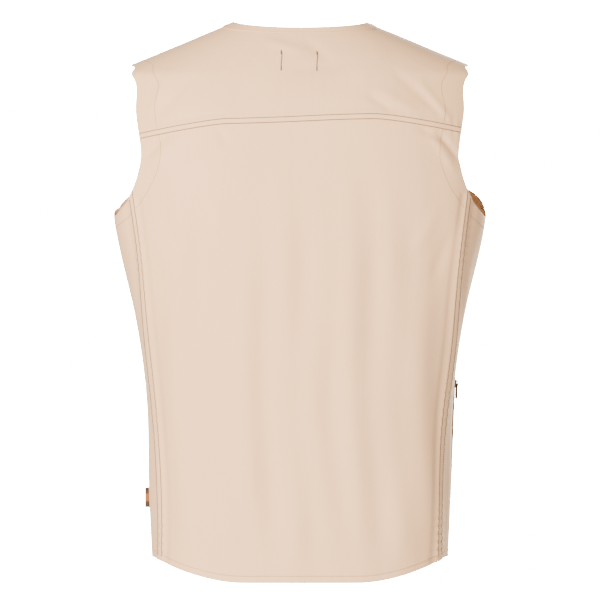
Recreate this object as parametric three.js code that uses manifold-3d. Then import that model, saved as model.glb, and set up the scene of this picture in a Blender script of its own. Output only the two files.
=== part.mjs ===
// A sleeveless fishing vest with a V neck, modelled as it hangs on an invisible wearer.
// The vest faces -Y, +Z is up, and the wearer's left hand is at +X. Lengths are in millimetres.
// The origin is on the plane that the lowest point of the hem touches, under the middle of the vest.
import * as THREE from "three";
import { mergeVertices } from "three/addons/utils/BufferGeometryUtils.js";
import Module from "manifold-3d";

const wasm = await Module();
wasm.setup();

// ---------------------------------------------------------------- driving dimensions

const CLEARANCE = 0.4; // free gap between two stacked pieces
const SEAM_GAP = 1.2; // between the edges of two panels that are sewn together
const LAYER_GAP = 2.4; // free gap between two curved layers of cloth, which are built of flat facets
const SHELL = 1.2; // outer cloth with its seam allowances pressed flat
const LINING = 0.6; // knitted mesh lining
const FACING = 0.7; // turned cloth behind an edge
const DEPTH_SHIFT = 15; // moves the body axis back so that the origin is under the middle of the pockets

// Half width of the body of the vest at a few heights: hem, hip, waist, ribs, underarm, shoulder blade.
const HALF_WIDTHS = [
  [0, 187],
  [110, 192],
  [230, 195],
  [330, 208],
  [465, 237],
  [600, 243],
];
// Depth of the back behind the body axis at hem, waist, ribs, shoulder blades, yoke, shoulder and nape.
const BACK_DEPTHS = [
  [0, 104],
  [200, 100],
  [340, 109],
  [500, 118],
  [600, 108],
  [660, 88],
  [714, 62],
];
const BACK_ROUNDNESS = 2.6; // exponent of the plan curve behind the body axis, 2 is an ellipse
const FRONT_ROUNDNESS = 3.6; // the front is flatter, because the pockets hold it flat
const FRONT_SWEEP = 0.15; // how fast the front falls back towards the sides
const FRONT_HEM_DEPTH = 112;
const FRONT_NECK_DEPTH = 126; // depth at the bottom of the V
const FRONT_TOP_FALL = 77; // how far the front leans back between the V and the shoulder

const NECK_HALF_WIDTH = 85;
const NECK_POINT_Z = 714; // where the shoulder seam meets the neck
const NAPE_DROP = 8;
const V_POINT_Z = 500;
const SHOULDER_SLOPE = 0.415;
const SHOULDER_SLOPE_SINE = 0.386; // the sine of the same slope
const SHOULDER_TIP_Z = 660;
const SHOULDER_BLEND = 9;

const ARMHOLE_BOTTOM_Z = 465;
const ARMHOLE_BACK_REACH = 80;
const ARMHOLE_REACH_FALL = 10; // the reach is this much less from the yoke up
const ARMHOLE_FALL_Z = [535, 615];
const ARMHOLE_ROUNDNESS = 2.8; // of the half under the arm
const ARMHOLE_TOP_ROUNDNESS = 4;
const ARMHOLE_FRONT_INSET = 3; // seen from behind, the front edge hides this far inside the back one
const ARMHOLE_FRONT_SHOW = 5; // but near the underarm it stands out this far
const ARMHOLE_SHOW_TURN = 0.09; // where it stands out the most
const ARMHOLE_FACING_WIDTH = 16;

const YOKE_SEAM_Z = 586;
const YOKE_SEAM_DROP = 18; // how far the yoke seam falls on its way to the armhole
const YOKE_LEVEL_HALF = 95; // the seam is level this far out from the centre
const YOKE_END_HALF = 205; // half width at which it has fallen that far

// Half width of the centre back panel at hem, waist, ribs and where its seam meets the armhole.
const BACK_PANEL_HALF_WIDTHS = [
  [33, 175],
  [180, 180],
  [300, 191],
  [400, 199],
  [494, 212],
];
const BACK_PANEL_TOP_Z = 494;

const SIDE_HEM_RISE = 32;
const HEM_LEVEL_HALF = 75;
const FRONT_HEM_Z = 14;
const HEM_FACING_WIDTH = 11;
const NECK_BAND_HEIGHT = 9;

const ZIP_OPENING_HALF = 6; // the folded front edges stop this far from the centre

// ---------------------------------------------------------------- the shape of the body

const mix = (a, b, t) => a + (b - a) * t;
const softMin = (a, b, k) => {
  const h = Math.max(k - Math.abs(a - b), 0) / k;
  return Math.min(a, b) - (h * h * k) / 4;
};

// A smooth curve through [z, value] stations, level beyond both ends.
function through(stations, z) {
  const last = stations.length - 1;
  if (z <= stations[0][0]) return stations[0][1];
  if (z >= stations[last][0]) return stations[last][1];
  const i = stations.findIndex((s, k) => k < last && z < stations[k + 1][0]);
  const slope = (k) => {
    const a = stations[Math.max(k - 1, 0)];
    const b = stations[Math.min(k + 1, last)];
    return (b[1] - a[1]) / (b[0] - a[0]);
  };
  const [z0, v0] = stations[i];
  const [z1, v1] = stations[i + 1];
  const t = (z - z0) / (z1 - z0);
  const bend = (z1 - z0) * (slope(i) * t * (1 - t) ** 2 - slope(i + 1) * t * t * (1 - t));
  return mix(v0, v1, t * t * (3 - 2 * t)) + bend;
}

const shoulderHalfWidth = (z) => NECK_HALF_WIDTH + (NECK_POINT_Z - z) / SHOULDER_SLOPE;
const halfWidth = (z) =>
  softMin(through(HALF_WIDTHS, z), shoulderHalfWidth(z), SHOULDER_BLEND);
const backDepth = (z) => through(BACK_DEPTHS, z);

function frontDepth(z) {
  const level = mix(FRONT_HEM_DEPTH, FRONT_NECK_DEPTH, z / V_POINT_Z);
  const above = Math.max(z - V_POINT_Z, 0) / (NECK_POINT_Z - V_POINT_Z);
  return level - FRONT_TOP_FALL * above ** 2.2;
}

// A point of the body by angle and height: angle 0 is the wearer's left side, a quarter turn the
// centre back, half a turn the right side and three quarters the centre front.
function surfacePoint(angle, z) {
  const c = Math.cos(angle);
  const s = Math.sin(angle);
  const p = s >= 0 ? BACK_ROUNDNESS : FRONT_ROUNDNESS;
  const scale = (Math.abs(c) ** p + Math.abs(s) ** p) ** (-1 / p);
  const x = halfWidth(z) * c * scale;
  const front = Math.max(frontDepth(z) - FRONT_SWEEP * (Math.hypot(x, 20) - 20), 5);
  const y = (s >= 0 ? backDepth(z) : front) * s * scale;
  return new THREE.Vector3(x, y + DEPTH_SHIFT, z);
}

// The same point moved out from the body by a distance.
function bodyPoint([angle, z], offset = 0) {
  const step = 1e-3;
  const along = surfacePoint(angle + step, z).sub(surfacePoint(angle - step, z));
  const up = surfacePoint(angle, z + 0.5).sub(surfacePoint(angle, z - 0.5));
  const normal = along.cross(up).normalize();
  return surfacePoint(angle, z).addScaledVector(normal, offset);
}

// The angle where a half of the body, +1 back or -1 front, has a given half width or depth.
function angleWhere(measure, target, z, half) {
  let low = 0;
  let high = Math.PI / 2;
  const rising = measure(surfacePoint(half * high, z)) > measure(surfacePoint(0, z));
  for (let i = 0; i < 40; i++) {
    const middle = (low + high) / 2;
    const over = measure(surfacePoint(half * middle, z)) > target;
    if (over === rising) high = middle;
    else low = middle;
  }
  return half * low;
}
const angleAtX = (x, z, half) => angleWhere((p) => p.x, x, z, half);
const angleAtY = (y, z, half) =>
  angleWhere((p) => Math.abs(p.y - DEPTH_SHIFT), Math.abs(y), z, half);

// ---------------------------------------------------------------- seam lines and edges

const SEAM_ANGLE = SEAM_GAP / 2 / 100; // half a seam at the sides and shoulders, as an angle
const QUARTER = Math.PI / 2;

function hemZ(angle) {
  const x = Math.abs(surfacePoint(angle, SIDE_HEM_RISE).x);
  const side = halfWidth(SIDE_HEM_RISE);
  if (Math.sin(angle) < 0) return mix(FRONT_HEM_Z, SIDE_HEM_RISE, (x / side) ** 3);
  return SIDE_HEM_RISE * (Math.max(x - HEM_LEVEL_HALF, 0) / (side - HEM_LEVEL_HALF)) ** 1.8;
}

// The back of the armhole is half an oval seen from the side: turn 0 is under the arm and a half is
// the shoulder tip. The front, half -1, has the same heights and nearly the same half widths, so that
// it hides behind the back. A margin widens both.
function armholePoint(turn, half, margin = 0) {
  const t = turn * 2 * Math.PI;
  const [sine, cosine] = [Math.abs(Math.sin(t)), Math.cos(t)];
  const q = cosine > 0 ? ARMHOLE_ROUNDNESS : ARMHOLE_TOP_ROUNDNESS;
  const scale = (sine ** q + Math.abs(cosine) ** q) ** (-1 / q);
  const tall = (SHOULDER_TIP_Z - ARMHOLE_BOTTOM_Z) / 2;
  const rise = margin * (cosine > 0 ? 1 : SHOULDER_SLOPE_SINE);
  const z = ARMHOLE_BOTTOM_Z + tall - (tall + rise) * cosine * scale;
  const w = THREE.MathUtils.smoothstep(z, ...ARMHOLE_FALL_Z);
  const reach = ARMHOLE_BACK_REACH - ARMHOLE_REACH_FALL * w + margin;
  const angle = angleAtY(reach * sine * scale, z, 1);
  if (half > 0) return [Math.max(angle, SEAM_ANGLE), z];
  const show = Math.exp(-(((turn - ARMHOLE_SHOW_TURN) / 0.04) ** 2));
  const hidden = Math.min(1, sine / 0.3) * (1 - show);
  const x = surfacePoint(angle, z).x + ARMHOLE_FRONT_SHOW * show - ARMHOLE_FRONT_INSET * hidden;
  return [-Math.max(Math.abs(angleAtX(x, z, -1)), SEAM_ANGLE), z];
}

// The turn at which the back armhole, widened by a margin, passes a height.
function armholeTurnAt(z, margin = 0) {
  let low = 0;
  let high = 0.5;
  for (let i = 0; i < 30; i++) {
    const middle = (low + high) / 2;
    if (armholePoint(middle, 1, margin)[1] < z) low = middle;
    else high = middle;
  }
  return low;
}
const SIDE_BACK_TURN = armholeTurnAt(BACK_PANEL_TOP_Z);

function yokeSeamZ(x) {
  const out = Math.max(Math.abs(x) - YOKE_LEVEL_HALF, 0);
  return YOKE_SEAM_Z - YOKE_SEAM_DROP * (out / (YOKE_END_HALF - YOKE_LEVEL_HALF)) ** 1.3;
}
const YOKE_END_TURN = armholeTurnAt(yokeSeamZ(YOKE_END_HALF));

const mirrored = ([angle, z]) => [Math.PI - angle, z];

// The seam between centre back and side back, from hem to armhole; gap moves it towards the side.
function sideBackSeam(t, gap) {
  const angleLow = angleAtX(BACK_PANEL_HALF_WIDTHS[0][1] + gap, SIDE_HEM_RISE, 1);
  const z = mix(hemZ(angleLow), BACK_PANEL_TOP_Z, t);
  const [topAngle] = armholePoint(SIDE_BACK_TURN, 1);
  const x = surfacePoint(topAngle, BACK_PANEL_TOP_Z).x;
  const planned = BACK_PANEL_HALF_WIDTHS.at(-1)[1];
  const half = through(BACK_PANEL_HALF_WIDTHS, z) + (x - planned) * t ** 4;
  return [angleAtX(half + gap, z, 1), z];
}

// ---------------------------------------------------------------- building solids

// Fills a four-sided region of the body: each edge gives [angle, z], and the inside is blended.
function region({ bottom, top, start, end }) {
  return (u, v) => {
    const [b, t, s, e] = [bottom(u), top(u), start(v), end(v)];
    const corners = [bottom(0), bottom(1), top(0), top(1)];
    return [0, 1].map(
      (k) =>
        mix(b[k], t[k], v) +
        mix(s[k], e[k], u) -
        mix(mix(corners[0][k], corners[1][k], u), mix(corners[2][k], corners[3][k], u), v),
    );
  };
}

function solidFrom(positions, triangles) {
  const geometry = new THREE.BufferGeometry();
  geometry.setAttribute("position", new THREE.Float32BufferAttribute(positions, 3));
  let volume = 0;
  const corner = (i) => new THREE.Vector3().fromArray(positions, 3 * i);
  for (let i = 0; i < triangles.length; i += 3) {
    const [a, b, c] = triangles.slice(i, i + 3).map(corner);
    volume += a.dot(b.cross(c));
  }
  geometry.setIndex(volume < 0 ? triangles.reverse() : triangles);
  geometry.computeVertexNormals();
  return geometry;
}

// A closed sheet between two offsets of a surface function of (u, v, offset).
function sheet(pointAt, columns, rows, inner, outer) {
  const positions = [];
  const triangles = [];
  for (const offset of [outer, inner])
    for (let j = 0; j <= rows; j++)
      for (let i = 0; i <= columns; i++)
        positions.push(...pointAt(i / columns, j / rows, offset).toArray());
  const across = columns + 1;
  const back = across * (rows + 1);
  const quad = (a, b, c, d) => triangles.push(a, b, c, a, c, d);
  for (let j = 0; j < rows; j++)
    for (let i = 0; i < columns; i++) {
      const a = j * across + i;
      quad(a, a + 1, a + across + 1, a + across);
      quad(back + a, back + a + across, back + a + across + 1, back + a + 1);
    }
  for (let i = 0; i < columns; i++) {
    const top = rows * across + i;
    quad(i, back + i, back + i + 1, i + 1);
    quad(top, top + 1, back + top + 1, back + top);
  }
  for (let j = 0; j < rows; j++) {
    const a = j * across;
    const e = a + columns;
    quad(a, a + across, back + a + across, back + a);
    quad(e, back + e, back + e + across, e + across);
  }
  return solidFrom(positions, triangles);
}
const clothSheet = (place, columns, rows, inner, outer) =>
  sheet((u, v, offset) => bodyPoint(place(u, v), offset), columns, rows, inner, outer);

function toManifold(geometry) {
  const bare = geometry.clone();
  bare.deleteAttribute("normal");
  bare.deleteAttribute("uv");
  const merged = mergeVertices(bare, 1e-4);
  return new wasm.Manifold(
    new wasm.Mesh({
      numProp: 3,
      vertProperties: merged.attributes.position.array,
      triVerts: new Uint32Array(merged.index.array),
    }),
  );
}
function fromManifold(solid) {
  const mesh = solid.getMesh();
  const positions = [];
  for (let i = 0; i < mesh.vertProperties.length; i += mesh.numProp)
    positions.push(...mesh.vertProperties.subarray(i, i + 3));
  return solidFrom(positions, [...mesh.triVerts]);
}
const join = (...parts) => fromManifold(parts.map(toManifold).reduce((a, b) => a.add(b)));
const cut = (body, ...tools) =>
  fromManifold(tools.map(toManifold).reduce((a, b) => a.subtract(b), toManifold(body)));

// A box from its lowest to its highest corner.
function box(x0, x1, y0, y1, z0, z1) {
  const geometry = new THREE.BoxGeometry(x1 - x0, y1 - y0, z1 - z0);
  return geometry.translate((x0 + x1) / 2, (y0 + y1) / 2, (z0 + z1) / 2);
}
// An outline of [y, z] points extruded from x0 to x1.
function bar(outline, x0, x1) {
  const shape = new THREE.Shape(outline.map(([y, z]) => new THREE.Vector2(y, z)));
  const geometry = new THREE.ExtrudeGeometry(shape, { depth: x1 - x0, bevelEnabled: false });
  geometry.applyMatrix4(new THREE.Matrix4().set(0, 0, 1, x0, 1, 0, 0, 0, 0, 1, 0, 0, 0, 0, 0, 1));
  return geometry;
}
// A round pin along X.
function pin(radius, x0, x1, y, z, sides = 12) {
  const geometry = new THREE.CylinderGeometry(radius, radius, x1 - x0, sides);
  return geometry.rotateZ(QUARTER).translate((x0 + x1) / 2, y, z);
}

// ---------------------------------------------------------------- materials

const finish = (color, roughness = 0.9, metalness = 0) =>
  new THREE.MeshStandardMaterial({ color, roughness, metalness });
const POPLIN = finish(0xe4d1c2, 0.85);
const MESH_LINING = finish(0xb49c84, 0.95);
const TAPE = finish(0x8a7766, 0.9);
const DARK_METAL = finish(0x4b4038, 0.35, 0.9);
const WOVEN_TAG = finish(0x6b4420, 0.8);
const FLEECE = finish(0xefe8dc, 1);

const vest = new THREE.Group();
function add(name, geometry, material, parent = vest) {
  const mesh = new THREE.Mesh(geometry, material);
  mesh.name = name;
  parent.add(mesh);
  return mesh;
}
const SIDES = [
  ["left", 1],
  ["right", -1],
];
// The right half repeats the left one, reflected in the plane x = 0.
const onSide = (side, place) => (u, v) => (side > 0 ? place(u, v) : mirrored(place(u, v)));

// ---------------------------------------------------------------- the six cloth panels

const BACK_COLUMNS = 24;
const SIDE_ROWS = 9;
const ARMHOLE_ROWS = 16;
const YOKE_ROWS = 16;

function backEdge(v) {
  // From hem to armhole along the seam, then up the armhole to the yoke.
  const seamShare = 0.8;
  if (v <= seamShare) return sideBackSeam(v / seamShare, -SEAM_GAP / 2);
  const turn = mix(SIDE_BACK_TURN, YOKE_END_TURN, (v - seamShare) / (1 - seamShare));
  return armholePoint(turn, 1);
}
function yokeSeam(u, gap, endTurn = YOKE_END_TURN, margin = 0) {
  const [end] = armholePoint(endTurn, 1, margin);
  const angle = mix(end, Math.PI - end, u);
  return [angle, yokeSeamZ(surfacePoint(angle, YOKE_SEAM_Z).x) + gap];
}
const backPanel = region({
  start: backEdge,
  end: (v) => mirrored(backEdge(v)),
  bottom: (u) => {
    const [end] = sideBackSeam(0, -SEAM_GAP / 2);
    const angle = mix(end, Math.PI - end, u);
    return [angle, hemZ(angle)];
  },
  top: (u) => yokeSeam(u, -CLEARANCE / 2),
});
add("back_panel", clothSheet(backPanel, BACK_COLUMNS, 12, 0, SHELL), POPLIN);

const SHOULDER_COLUMNS = 6;
// From the shoulder tip to the neck point, and round the nape to the other shoulder.
function yokeTop(u, margin = 0) {
  const share = SHOULDER_COLUMNS / BACK_COLUMNS;
  if (u > 0.5) return mirrored(yokeTop(1 - u, margin));
  const tipZ = armholePoint(0.5, 1, margin)[1];
  const neckZ = NECK_POINT_Z - margin * SHOULDER_SLOPE;
  if (u <= share) return [SEAM_ANGLE, mix(tipZ, neckZ, u / share)];
  const angle = mix(SEAM_ANGLE, QUARTER, (u - share) / (0.5 - share));
  return [angle, neckZ - NAPE_DROP * Math.sin(angle) ** 2];
}
function yoke(margin, gap) {
  const endTurn = armholeTurnAt(yokeSeamZ(YOKE_END_HALF), margin);
  const edge = (v) => armholePoint(mix(endTurn, 0.5, v), 1, margin);
  return region({
    start: edge,
    end: (v) => mirrored(edge(v)),
    bottom: (u) => yokeSeam(u, gap, endTurn, margin),
    top: (u) => yokeTop(u, margin),
  });
}
add("back_yoke", clothSheet(yoke(0, CLEARANCE / 2), BACK_COLUMNS, YOKE_ROWS, 0, SHELL), POPLIN);

const sideBack = region({
  start: (v) => {
    const z = mix(hemZ(0), ARMHOLE_BOTTOM_Z, v);
    return [SEAM_ANGLE, z];
  },
  end: (v) => sideBackSeam(v, SEAM_GAP / 2),
  bottom: (u) => {
    const angle = mix(SEAM_ANGLE, sideBackSeam(0, SEAM_GAP / 2)[0], u);
    return [angle, hemZ(angle)];
  },
  top: (u) => {
    if (u === 1) return sideBackSeam(1, SEAM_GAP / 2);
    return armholePoint(SIDE_BACK_TURN * u, 1);
  },
});

const FRONT_ROWS = SIDE_ROWS + ARMHOLE_ROWS;
const FRONT_SHARE = SIDE_ROWS / FRONT_ROWS; // rows below the armhole and the V
// The neckline of the front from the bottom of the V to the neck point, moved out by a margin.
function neckEdge(t, margin = 0) {
  const w = (1 - t) ** 2;
  const z = mix(NECK_POINT_Z - margin * SHOULDER_SLOPE, V_POINT_Z, w);
  const x = mix(NECK_HALF_WIDTH, ZIP_OPENING_HALF, w) + margin;
  return [-Math.max(Math.abs(angleAtX(x, z, -1)), SEAM_ANGLE), z];
}
function frontInner(v, margin = 0, low = FRONT_HEM_Z) {
  if (v > FRONT_SHARE) return neckEdge((v - FRONT_SHARE) / (1 - FRONT_SHARE), margin);
  const z = mix(low, V_POINT_Z, v / FRONT_SHARE);
  return [angleAtX(ZIP_OPENING_HALF + margin, z, -1), z];
}
function frontOuter(v, margin = 0, low = hemZ(0)) {
  if (v <= FRONT_SHARE)
    return [-SEAM_ANGLE, mix(low, ARMHOLE_BOTTOM_Z - margin, v / FRONT_SHARE)];
  return armholePoint((0.5 * (v - FRONT_SHARE)) / (1 - FRONT_SHARE), -1, margin);
}
const front = region({
  start: frontInner,
  end: (v) => frontOuter(v),
  bottom: (u) => {
    const angle = mix(frontInner(0)[0], -SEAM_ANGLE, u);
    return [angle, hemZ(angle)];
  },
  top: (u) => [-SEAM_ANGLE, mix(NECK_POINT_Z, SHOULDER_TIP_Z, u)],
});
for (const [name, side] of SIDES) {
  const back = onSide(side, sideBack);
  add(`back_side_${name}`, clothSheet(back, 6, SIDE_ROWS, 0, SHELL), POPLIN);
  add(`front_${name}`, clothSheet(onSide(side, front), 14, FRONT_ROWS, 0, SHELL), POPLIN);
}

// ---------------------------------------------------------------- edges turned or bound

const FACING_OUT = -LAYER_GAP; // the turned cloth lies against the inside of the panels
const FACING_IN = FACING_OUT - FACING;
const LINING_OUT = FACING_IN - LAYER_GAP;
const LINING_IN = LINING_OUT - LINING;

// A band between an edge and the same edge moved in by a width.
const band = (edge, width, u0, u1) => (u, v) => edge(mix(u0, u1, u), width * v);

for (const [name, side] of SIDES) {
  // All round the armhole: up the back for the first half of u, and down the front again.
  const edge = (u, margin) =>
    u < 0.5 ? armholePoint(u, 1, margin) : armholePoint(1 - u, -1, margin);
  const place = onSide(side, band(edge, ARMHOLE_FACING_WIDTH, 0.004, 0.996));
  const facing = clothSheet(place, 44, 1, FACING_IN, FACING_OUT);
  add(`armhole_facing_${name}`, facing, POPLIN);
}
// The hem is turned up once; the side seams part it into a back and two fronts.
const hemEdge = (from, to) => (u, up) => {
  const angle = mix(from, to, u);
  return [angle, hemZ(angle) + up];
};
const sideGap = 2 * SEAM_ANGLE;
const hemBack = band(hemEdge(sideGap, Math.PI - sideGap), HEM_FACING_WIDTH, 0, 1);
add("hem_facing_back", clothSheet(hemBack, 22, 1, FACING_IN, FACING_OUT), POPLIN);
const ZIP_TAPE_REACH = 15; // from the centre to the sewn edge of the zip tape
for (const [name, side] of SIDES) {
  const from = angleAtX(ZIP_TAPE_REACH + CLEARANCE, FRONT_HEM_Z, -1);
  const place = onSide(side, band(hemEdge(from, -sideGap), HEM_FACING_WIDTH, 0, 1));
  add(`hem_facing_front_${name}`, clothSheet(place, 12, 1, FACING_IN, FACING_OUT), POPLIN);
}
// One strip binds the neck from the V over the shoulder, round the nape and back to the V.
function neckBandPoint(u, margin) {
  if (u > 0.5) return mirrored(neckBandPoint(1 - u, margin));
  const turn = 0.34;
  if (u < turn) return neckEdge(0.06 + (0.94 * u) / turn, margin);
  const angle = mix(-SEAM_ANGLE, QUARTER, (u - turn) / (0.5 - turn));
  const low = mix(margin * SHOULDER_SLOPE, margin, Math.min(1, Math.sin(angle) * 2));
  return [angle, NECK_POINT_Z - NAPE_DROP * Math.sin(angle) ** 2 - low];
}
const neckBand = clothSheet(
  band(neckBandPoint, NECK_BAND_HEIGHT, 0, 1),
  44,
  1,
  SHELL + LAYER_GAP,
  SHELL + LAYER_GAP + FACING,
);
add("neck_band", neckBand, POPLIN);

// ---------------------------------------------------------------- lining

const LINING_MARGIN = ARMHOLE_FACING_WIDTH + 2;
const LINING_HEM = HEM_FACING_WIDTH + 4;
const YOKE_LINING_TURN = armholeTurnAt(yokeSeamZ(YOKE_END_HALF), LINING_MARGIN);
function liningBackEdge(v) {
  const share = 0.8;
  const top = ARMHOLE_BOTTOM_Z - LINING_MARGIN;
  if (v <= share) return [sideGap, mix(hemZ(0) + LINING_HEM, top, v / share)];
  const turn = (YOKE_LINING_TURN * (v - share)) / (1 - share);
  const [angle, z] = armholePoint(turn, 1, LINING_MARGIN);
  return [Math.max(angle, sideGap), z];
}
const liningBack = region({
  start: liningBackEdge,
  end: (v) => mirrored(liningBackEdge(v)),
  bottom: (u) => {
    const angle = mix(sideGap, Math.PI - sideGap, u);
    return [angle, hemZ(angle) + LINING_HEM];
  },
  top: (u) => yokeSeam(u, -SEAM_GAP / 2, YOKE_LINING_TURN, LINING_MARGIN),
});
const liningSheet = (place, columns, rows) =>
  clothSheet(place, columns, rows, LINING_IN, LINING_OUT);
add("lining_back", liningSheet(liningBack, BACK_COLUMNS, 11), MESH_LINING);
add("lining_yoke", liningSheet(yoke(LINING_MARGIN, SEAM_GAP / 2), BACK_COLUMNS, 6), POPLIN);

const LINING_FRONT_INSET = ZIP_TAPE_REACH + 3 - ZIP_OPENING_HALF;
const liningFront = region({
  start: (v) => frontInner(v, LINING_FRONT_INSET, FRONT_HEM_Z + LINING_HEM),
  end: (v) => {
    const [angle, z] = frontOuter(v, LINING_MARGIN, hemZ(0) + LINING_HEM);
    return [Math.min(angle, -sideGap), z];
  },
  bottom: (u) => {
    const inner = angleAtX(ZIP_OPENING_HALF + LINING_FRONT_INSET, FRONT_HEM_Z, -1);
    const angle = mix(inner, -sideGap, u);
    return [angle, mix(FRONT_HEM_Z, hemZ(0), u) + LINING_HEM];
  },
  top: (u) => {
    const inner = frontInner(1, LINING_FRONT_INSET)[1];
    return [-sideGap, mix(inner, frontOuter(1, LINING_MARGIN)[1], u)];
  },
});
for (const [name, side] of SIDES) {
  add(`lining_front_${name}`, liningSheet(onSide(side, liningFront), 8, 14), MESH_LINING);
}

// ---------------------------------------------------------------- neck label and hanger loop

const LABEL_WIDTH = 46;
const LABEL_HEIGHT = 27;
const LABEL_Z = 667;
function angleAtSignedX(x, z, half) {
  const angle = angleAtX(Math.abs(x), z, half);
  return x < 0 ? half * Math.PI - angle : angle;
}
const labelInside = (u, v) => {
  const z = LABEL_Z + LABEL_HEIGHT * (v - 0.5);
  return [angleAtSignedX(LABEL_WIDTH * (0.5 - u), z, 1), z];
};
const LABEL_OUT = LINING_IN - LAYER_GAP;
const label = clothSheet(labelInside, 4, 2, LABEL_OUT - LINING, LABEL_OUT);
add("neck_label", label, WOVEN_TAG);

// A folded tape whose ends are sewn to the lining at the nape, bowed in towards the neck.
const HANGER_HALF = 32;
const HANGER_BOW = 13;
const HANGER_TAPE = 1.2;
const HANGER_HEIGHT = 6;
const HANGER_Z = 690;
function hangerLoop() {
  const foot = bodyPoint([QUARTER, HANGER_Z + HANGER_HEIGHT], LABEL_OUT).y - 1.6;
  const outer = [];
  const inner = [];
  const steps = 12;
  for (let i = 0; i <= steps; i++) {
    const x = HANGER_HALF * (1 - (2 * i) / steps);
    const bow = HANGER_BOW * Math.sin((Math.PI * i) / steps) ** 0.8;
    outer.push(new THREE.Vector2(x, foot - bow - HANGER_TAPE));
    inner.unshift(new THREE.Vector2(x, foot - bow));
  }
  const shape = new THREE.Shape([...outer, ...inner]);
  const settings = { depth: HANGER_HEIGHT, bevelEnabled: false };
  return new THREE.ExtrudeGeometry(shape, settings).translate(0, 0, HANGER_Z);
}
add("hanger_loop", hangerLoop(), TAPE);

// ---------------------------------------------------------------- woven tag in the left side seam

const TAG_Z = 107;
const TAG_HEIGHT = 26;
const TAG_REACH = 6;
const tagRoot = bodyPoint([0, TAG_Z], SHELL + CLEARANCE);
add(
  "side_tag",
  box(
    tagRoot.x,
    tagRoot.x + TAG_REACH,
    tagRoot.y - 1,
    tagRoot.y + 1,
    TAG_Z - TAG_HEIGHT / 2,
    TAG_Z + TAG_HEIGHT / 2,
  ),
  WOVEN_TAG,
);

// ---------------------------------------------------------------- main zip

const ZIP_GAP = 0.8; // half of the slot that the slider's post runs in
const COIL_WIDTH = 2.6;
const COIL_DEPTH = 2.2;
const TAPE_THICK = 0.7;
const TAPE_INSET = 0.6; // the coil stands this far over the tape's inner edge
const ZIP_LOW_Z = 24;
const ZIP_HIGH_Z = 494;
// The closing line runs straight up the centre front; the group's Z is that line.
const zipFoot = bodyPoint([-QUARTER, ZIP_LOW_Z]);
const zipHead = bodyPoint([-QUARTER, ZIP_HIGH_Z]);
const ZIP_LENGTH = zipHead.distanceTo(zipFoot);
const zip = new THREE.Group();
zip.position.copy(zipFoot);
zip.rotation.x = Math.atan2(zipFoot.y - zipHead.y, zipHead.z - zipFoot.z);
vest.add(zip);

// Behind the folded front edges; the tape's outer face is this far behind the body surface.
const TAPE_FACE = CLEARANCE;
const tapeY = [TAPE_FACE, TAPE_FACE + TAPE_THICK];
const coilBack = TAPE_FACE - CLEARANCE;
for (const [name, side] of SIDES) {
  // The front falls back towards the sides, so the tape is bent to lie behind it.
  const fall = bodyPoint([angleAtX(ZIP_TAPE_REACH, 200, -1), 200]).y - bodyPoint([-QUARTER, 200]).y;
  const near = TAPE_INSET + ZIP_GAP;
  const outline = [
    [near, tapeY[0]],
    [ZIP_TAPE_REACH, tapeY[0] + fall + CLEARANCE / 2],
    [ZIP_TAPE_REACH, tapeY[1] + fall + CLEARANCE / 2],
    [near, tapeY[1]],
  ].map(([x, y]) => new THREE.Vector2(side * x, y));
  const shape = new THREE.Shape(side > 0 ? outline : outline.reverse());
  const settings = { depth: ZIP_LENGTH, bevelEnabled: false };
  add(`zip_tape_${name}`, new THREE.ExtrudeGeometry(shape, settings), TAPE, zip);
  const coil = box(0, COIL_WIDTH, coilBack - COIL_DEPTH, coilBack, 12, ZIP_LENGTH - 4);
  coil.translate(side > 0 ? ZIP_GAP : -ZIP_GAP - COIL_WIDTH, 0, 0);
  add(`zip_coil_${name}`, coil, TAPE, zip);
}

const SLIDER_HALF = 4.6;
const SLIDER_LENGTH = 11;
const PLATE = 0.8;
const BRIDGE_RISE = 3.4;
const BRIDGE_HALF = 1.5;
// Two plates round the coil, the post between them, and the bridge that holds the pull.
function zipSlider(coilFront, coilRear, lowZ) {
  const frontY = coilFront - CLEARANCE;
  const rearY = coilRear + CLEARANCE;
  const highZ = lowZ + SLIDER_LENGTH;
  const face = frontY - PLATE;
  const postHalf = ZIP_GAP - CLEARANCE;
  const post = box(-postHalf, postHalf, frontY - 0.1, rearY + 0.1, lowZ + 3, highZ);
  const arch = bar(
    [
      [face + 0.1, lowZ + 2],
      [face + 0.1, highZ - 1],
      [face - BRIDGE_RISE, highZ - 2],
      [face - BRIDGE_RISE, lowZ + 3],
    ],
    -BRIDGE_HALF,
    BRIDGE_HALF,
  );
  const eye = box(
    -BRIDGE_HALF - 1,
    BRIDGE_HALF + 1,
    face - BRIDGE_RISE + 1,
    face,
    lowZ + 4,
    highZ - 3,
  );
  return join(
    box(-SLIDER_HALF, SLIDER_HALF, face, frontY, lowZ, highZ),
    box(-SLIDER_HALF, SLIDER_HALF, rearY, rearY + PLATE, lowZ, highZ),
    post,
    cut(arch, eye),
  );
}
const PULL_HALF = 3.2;
const PULL_THICK = 1.4;
const EYE_HALF = BRIDGE_HALF + CLEARANCE; // the pull's window, which the bridge fits in
const PULL_ARM = 4.8; // from the pivot to the tab, so that the tab swings clear of the bridge
const SLIDER_PIVOT = 6; // height of the pull's crossbar above the slider's lower end
// A flat tab hung by a crossbar that runs under the bridge.
function zipPull(pivotY, pivotZ, length) {
  const front = pivotY - PULL_THICK / 2;
  const back = pivotY + PULL_THICK / 2;
  const bar = pivotZ - PULL_THICK / 2;
  const window = box(-EYE_HALF, EYE_HALF, front - 1, back + 1, pivotZ - PULL_ARM, bar);
  return cut(box(-PULL_HALF, PULL_HALF, front, back, pivotZ - length, bar + PULL_THICK), window);
}

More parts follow.
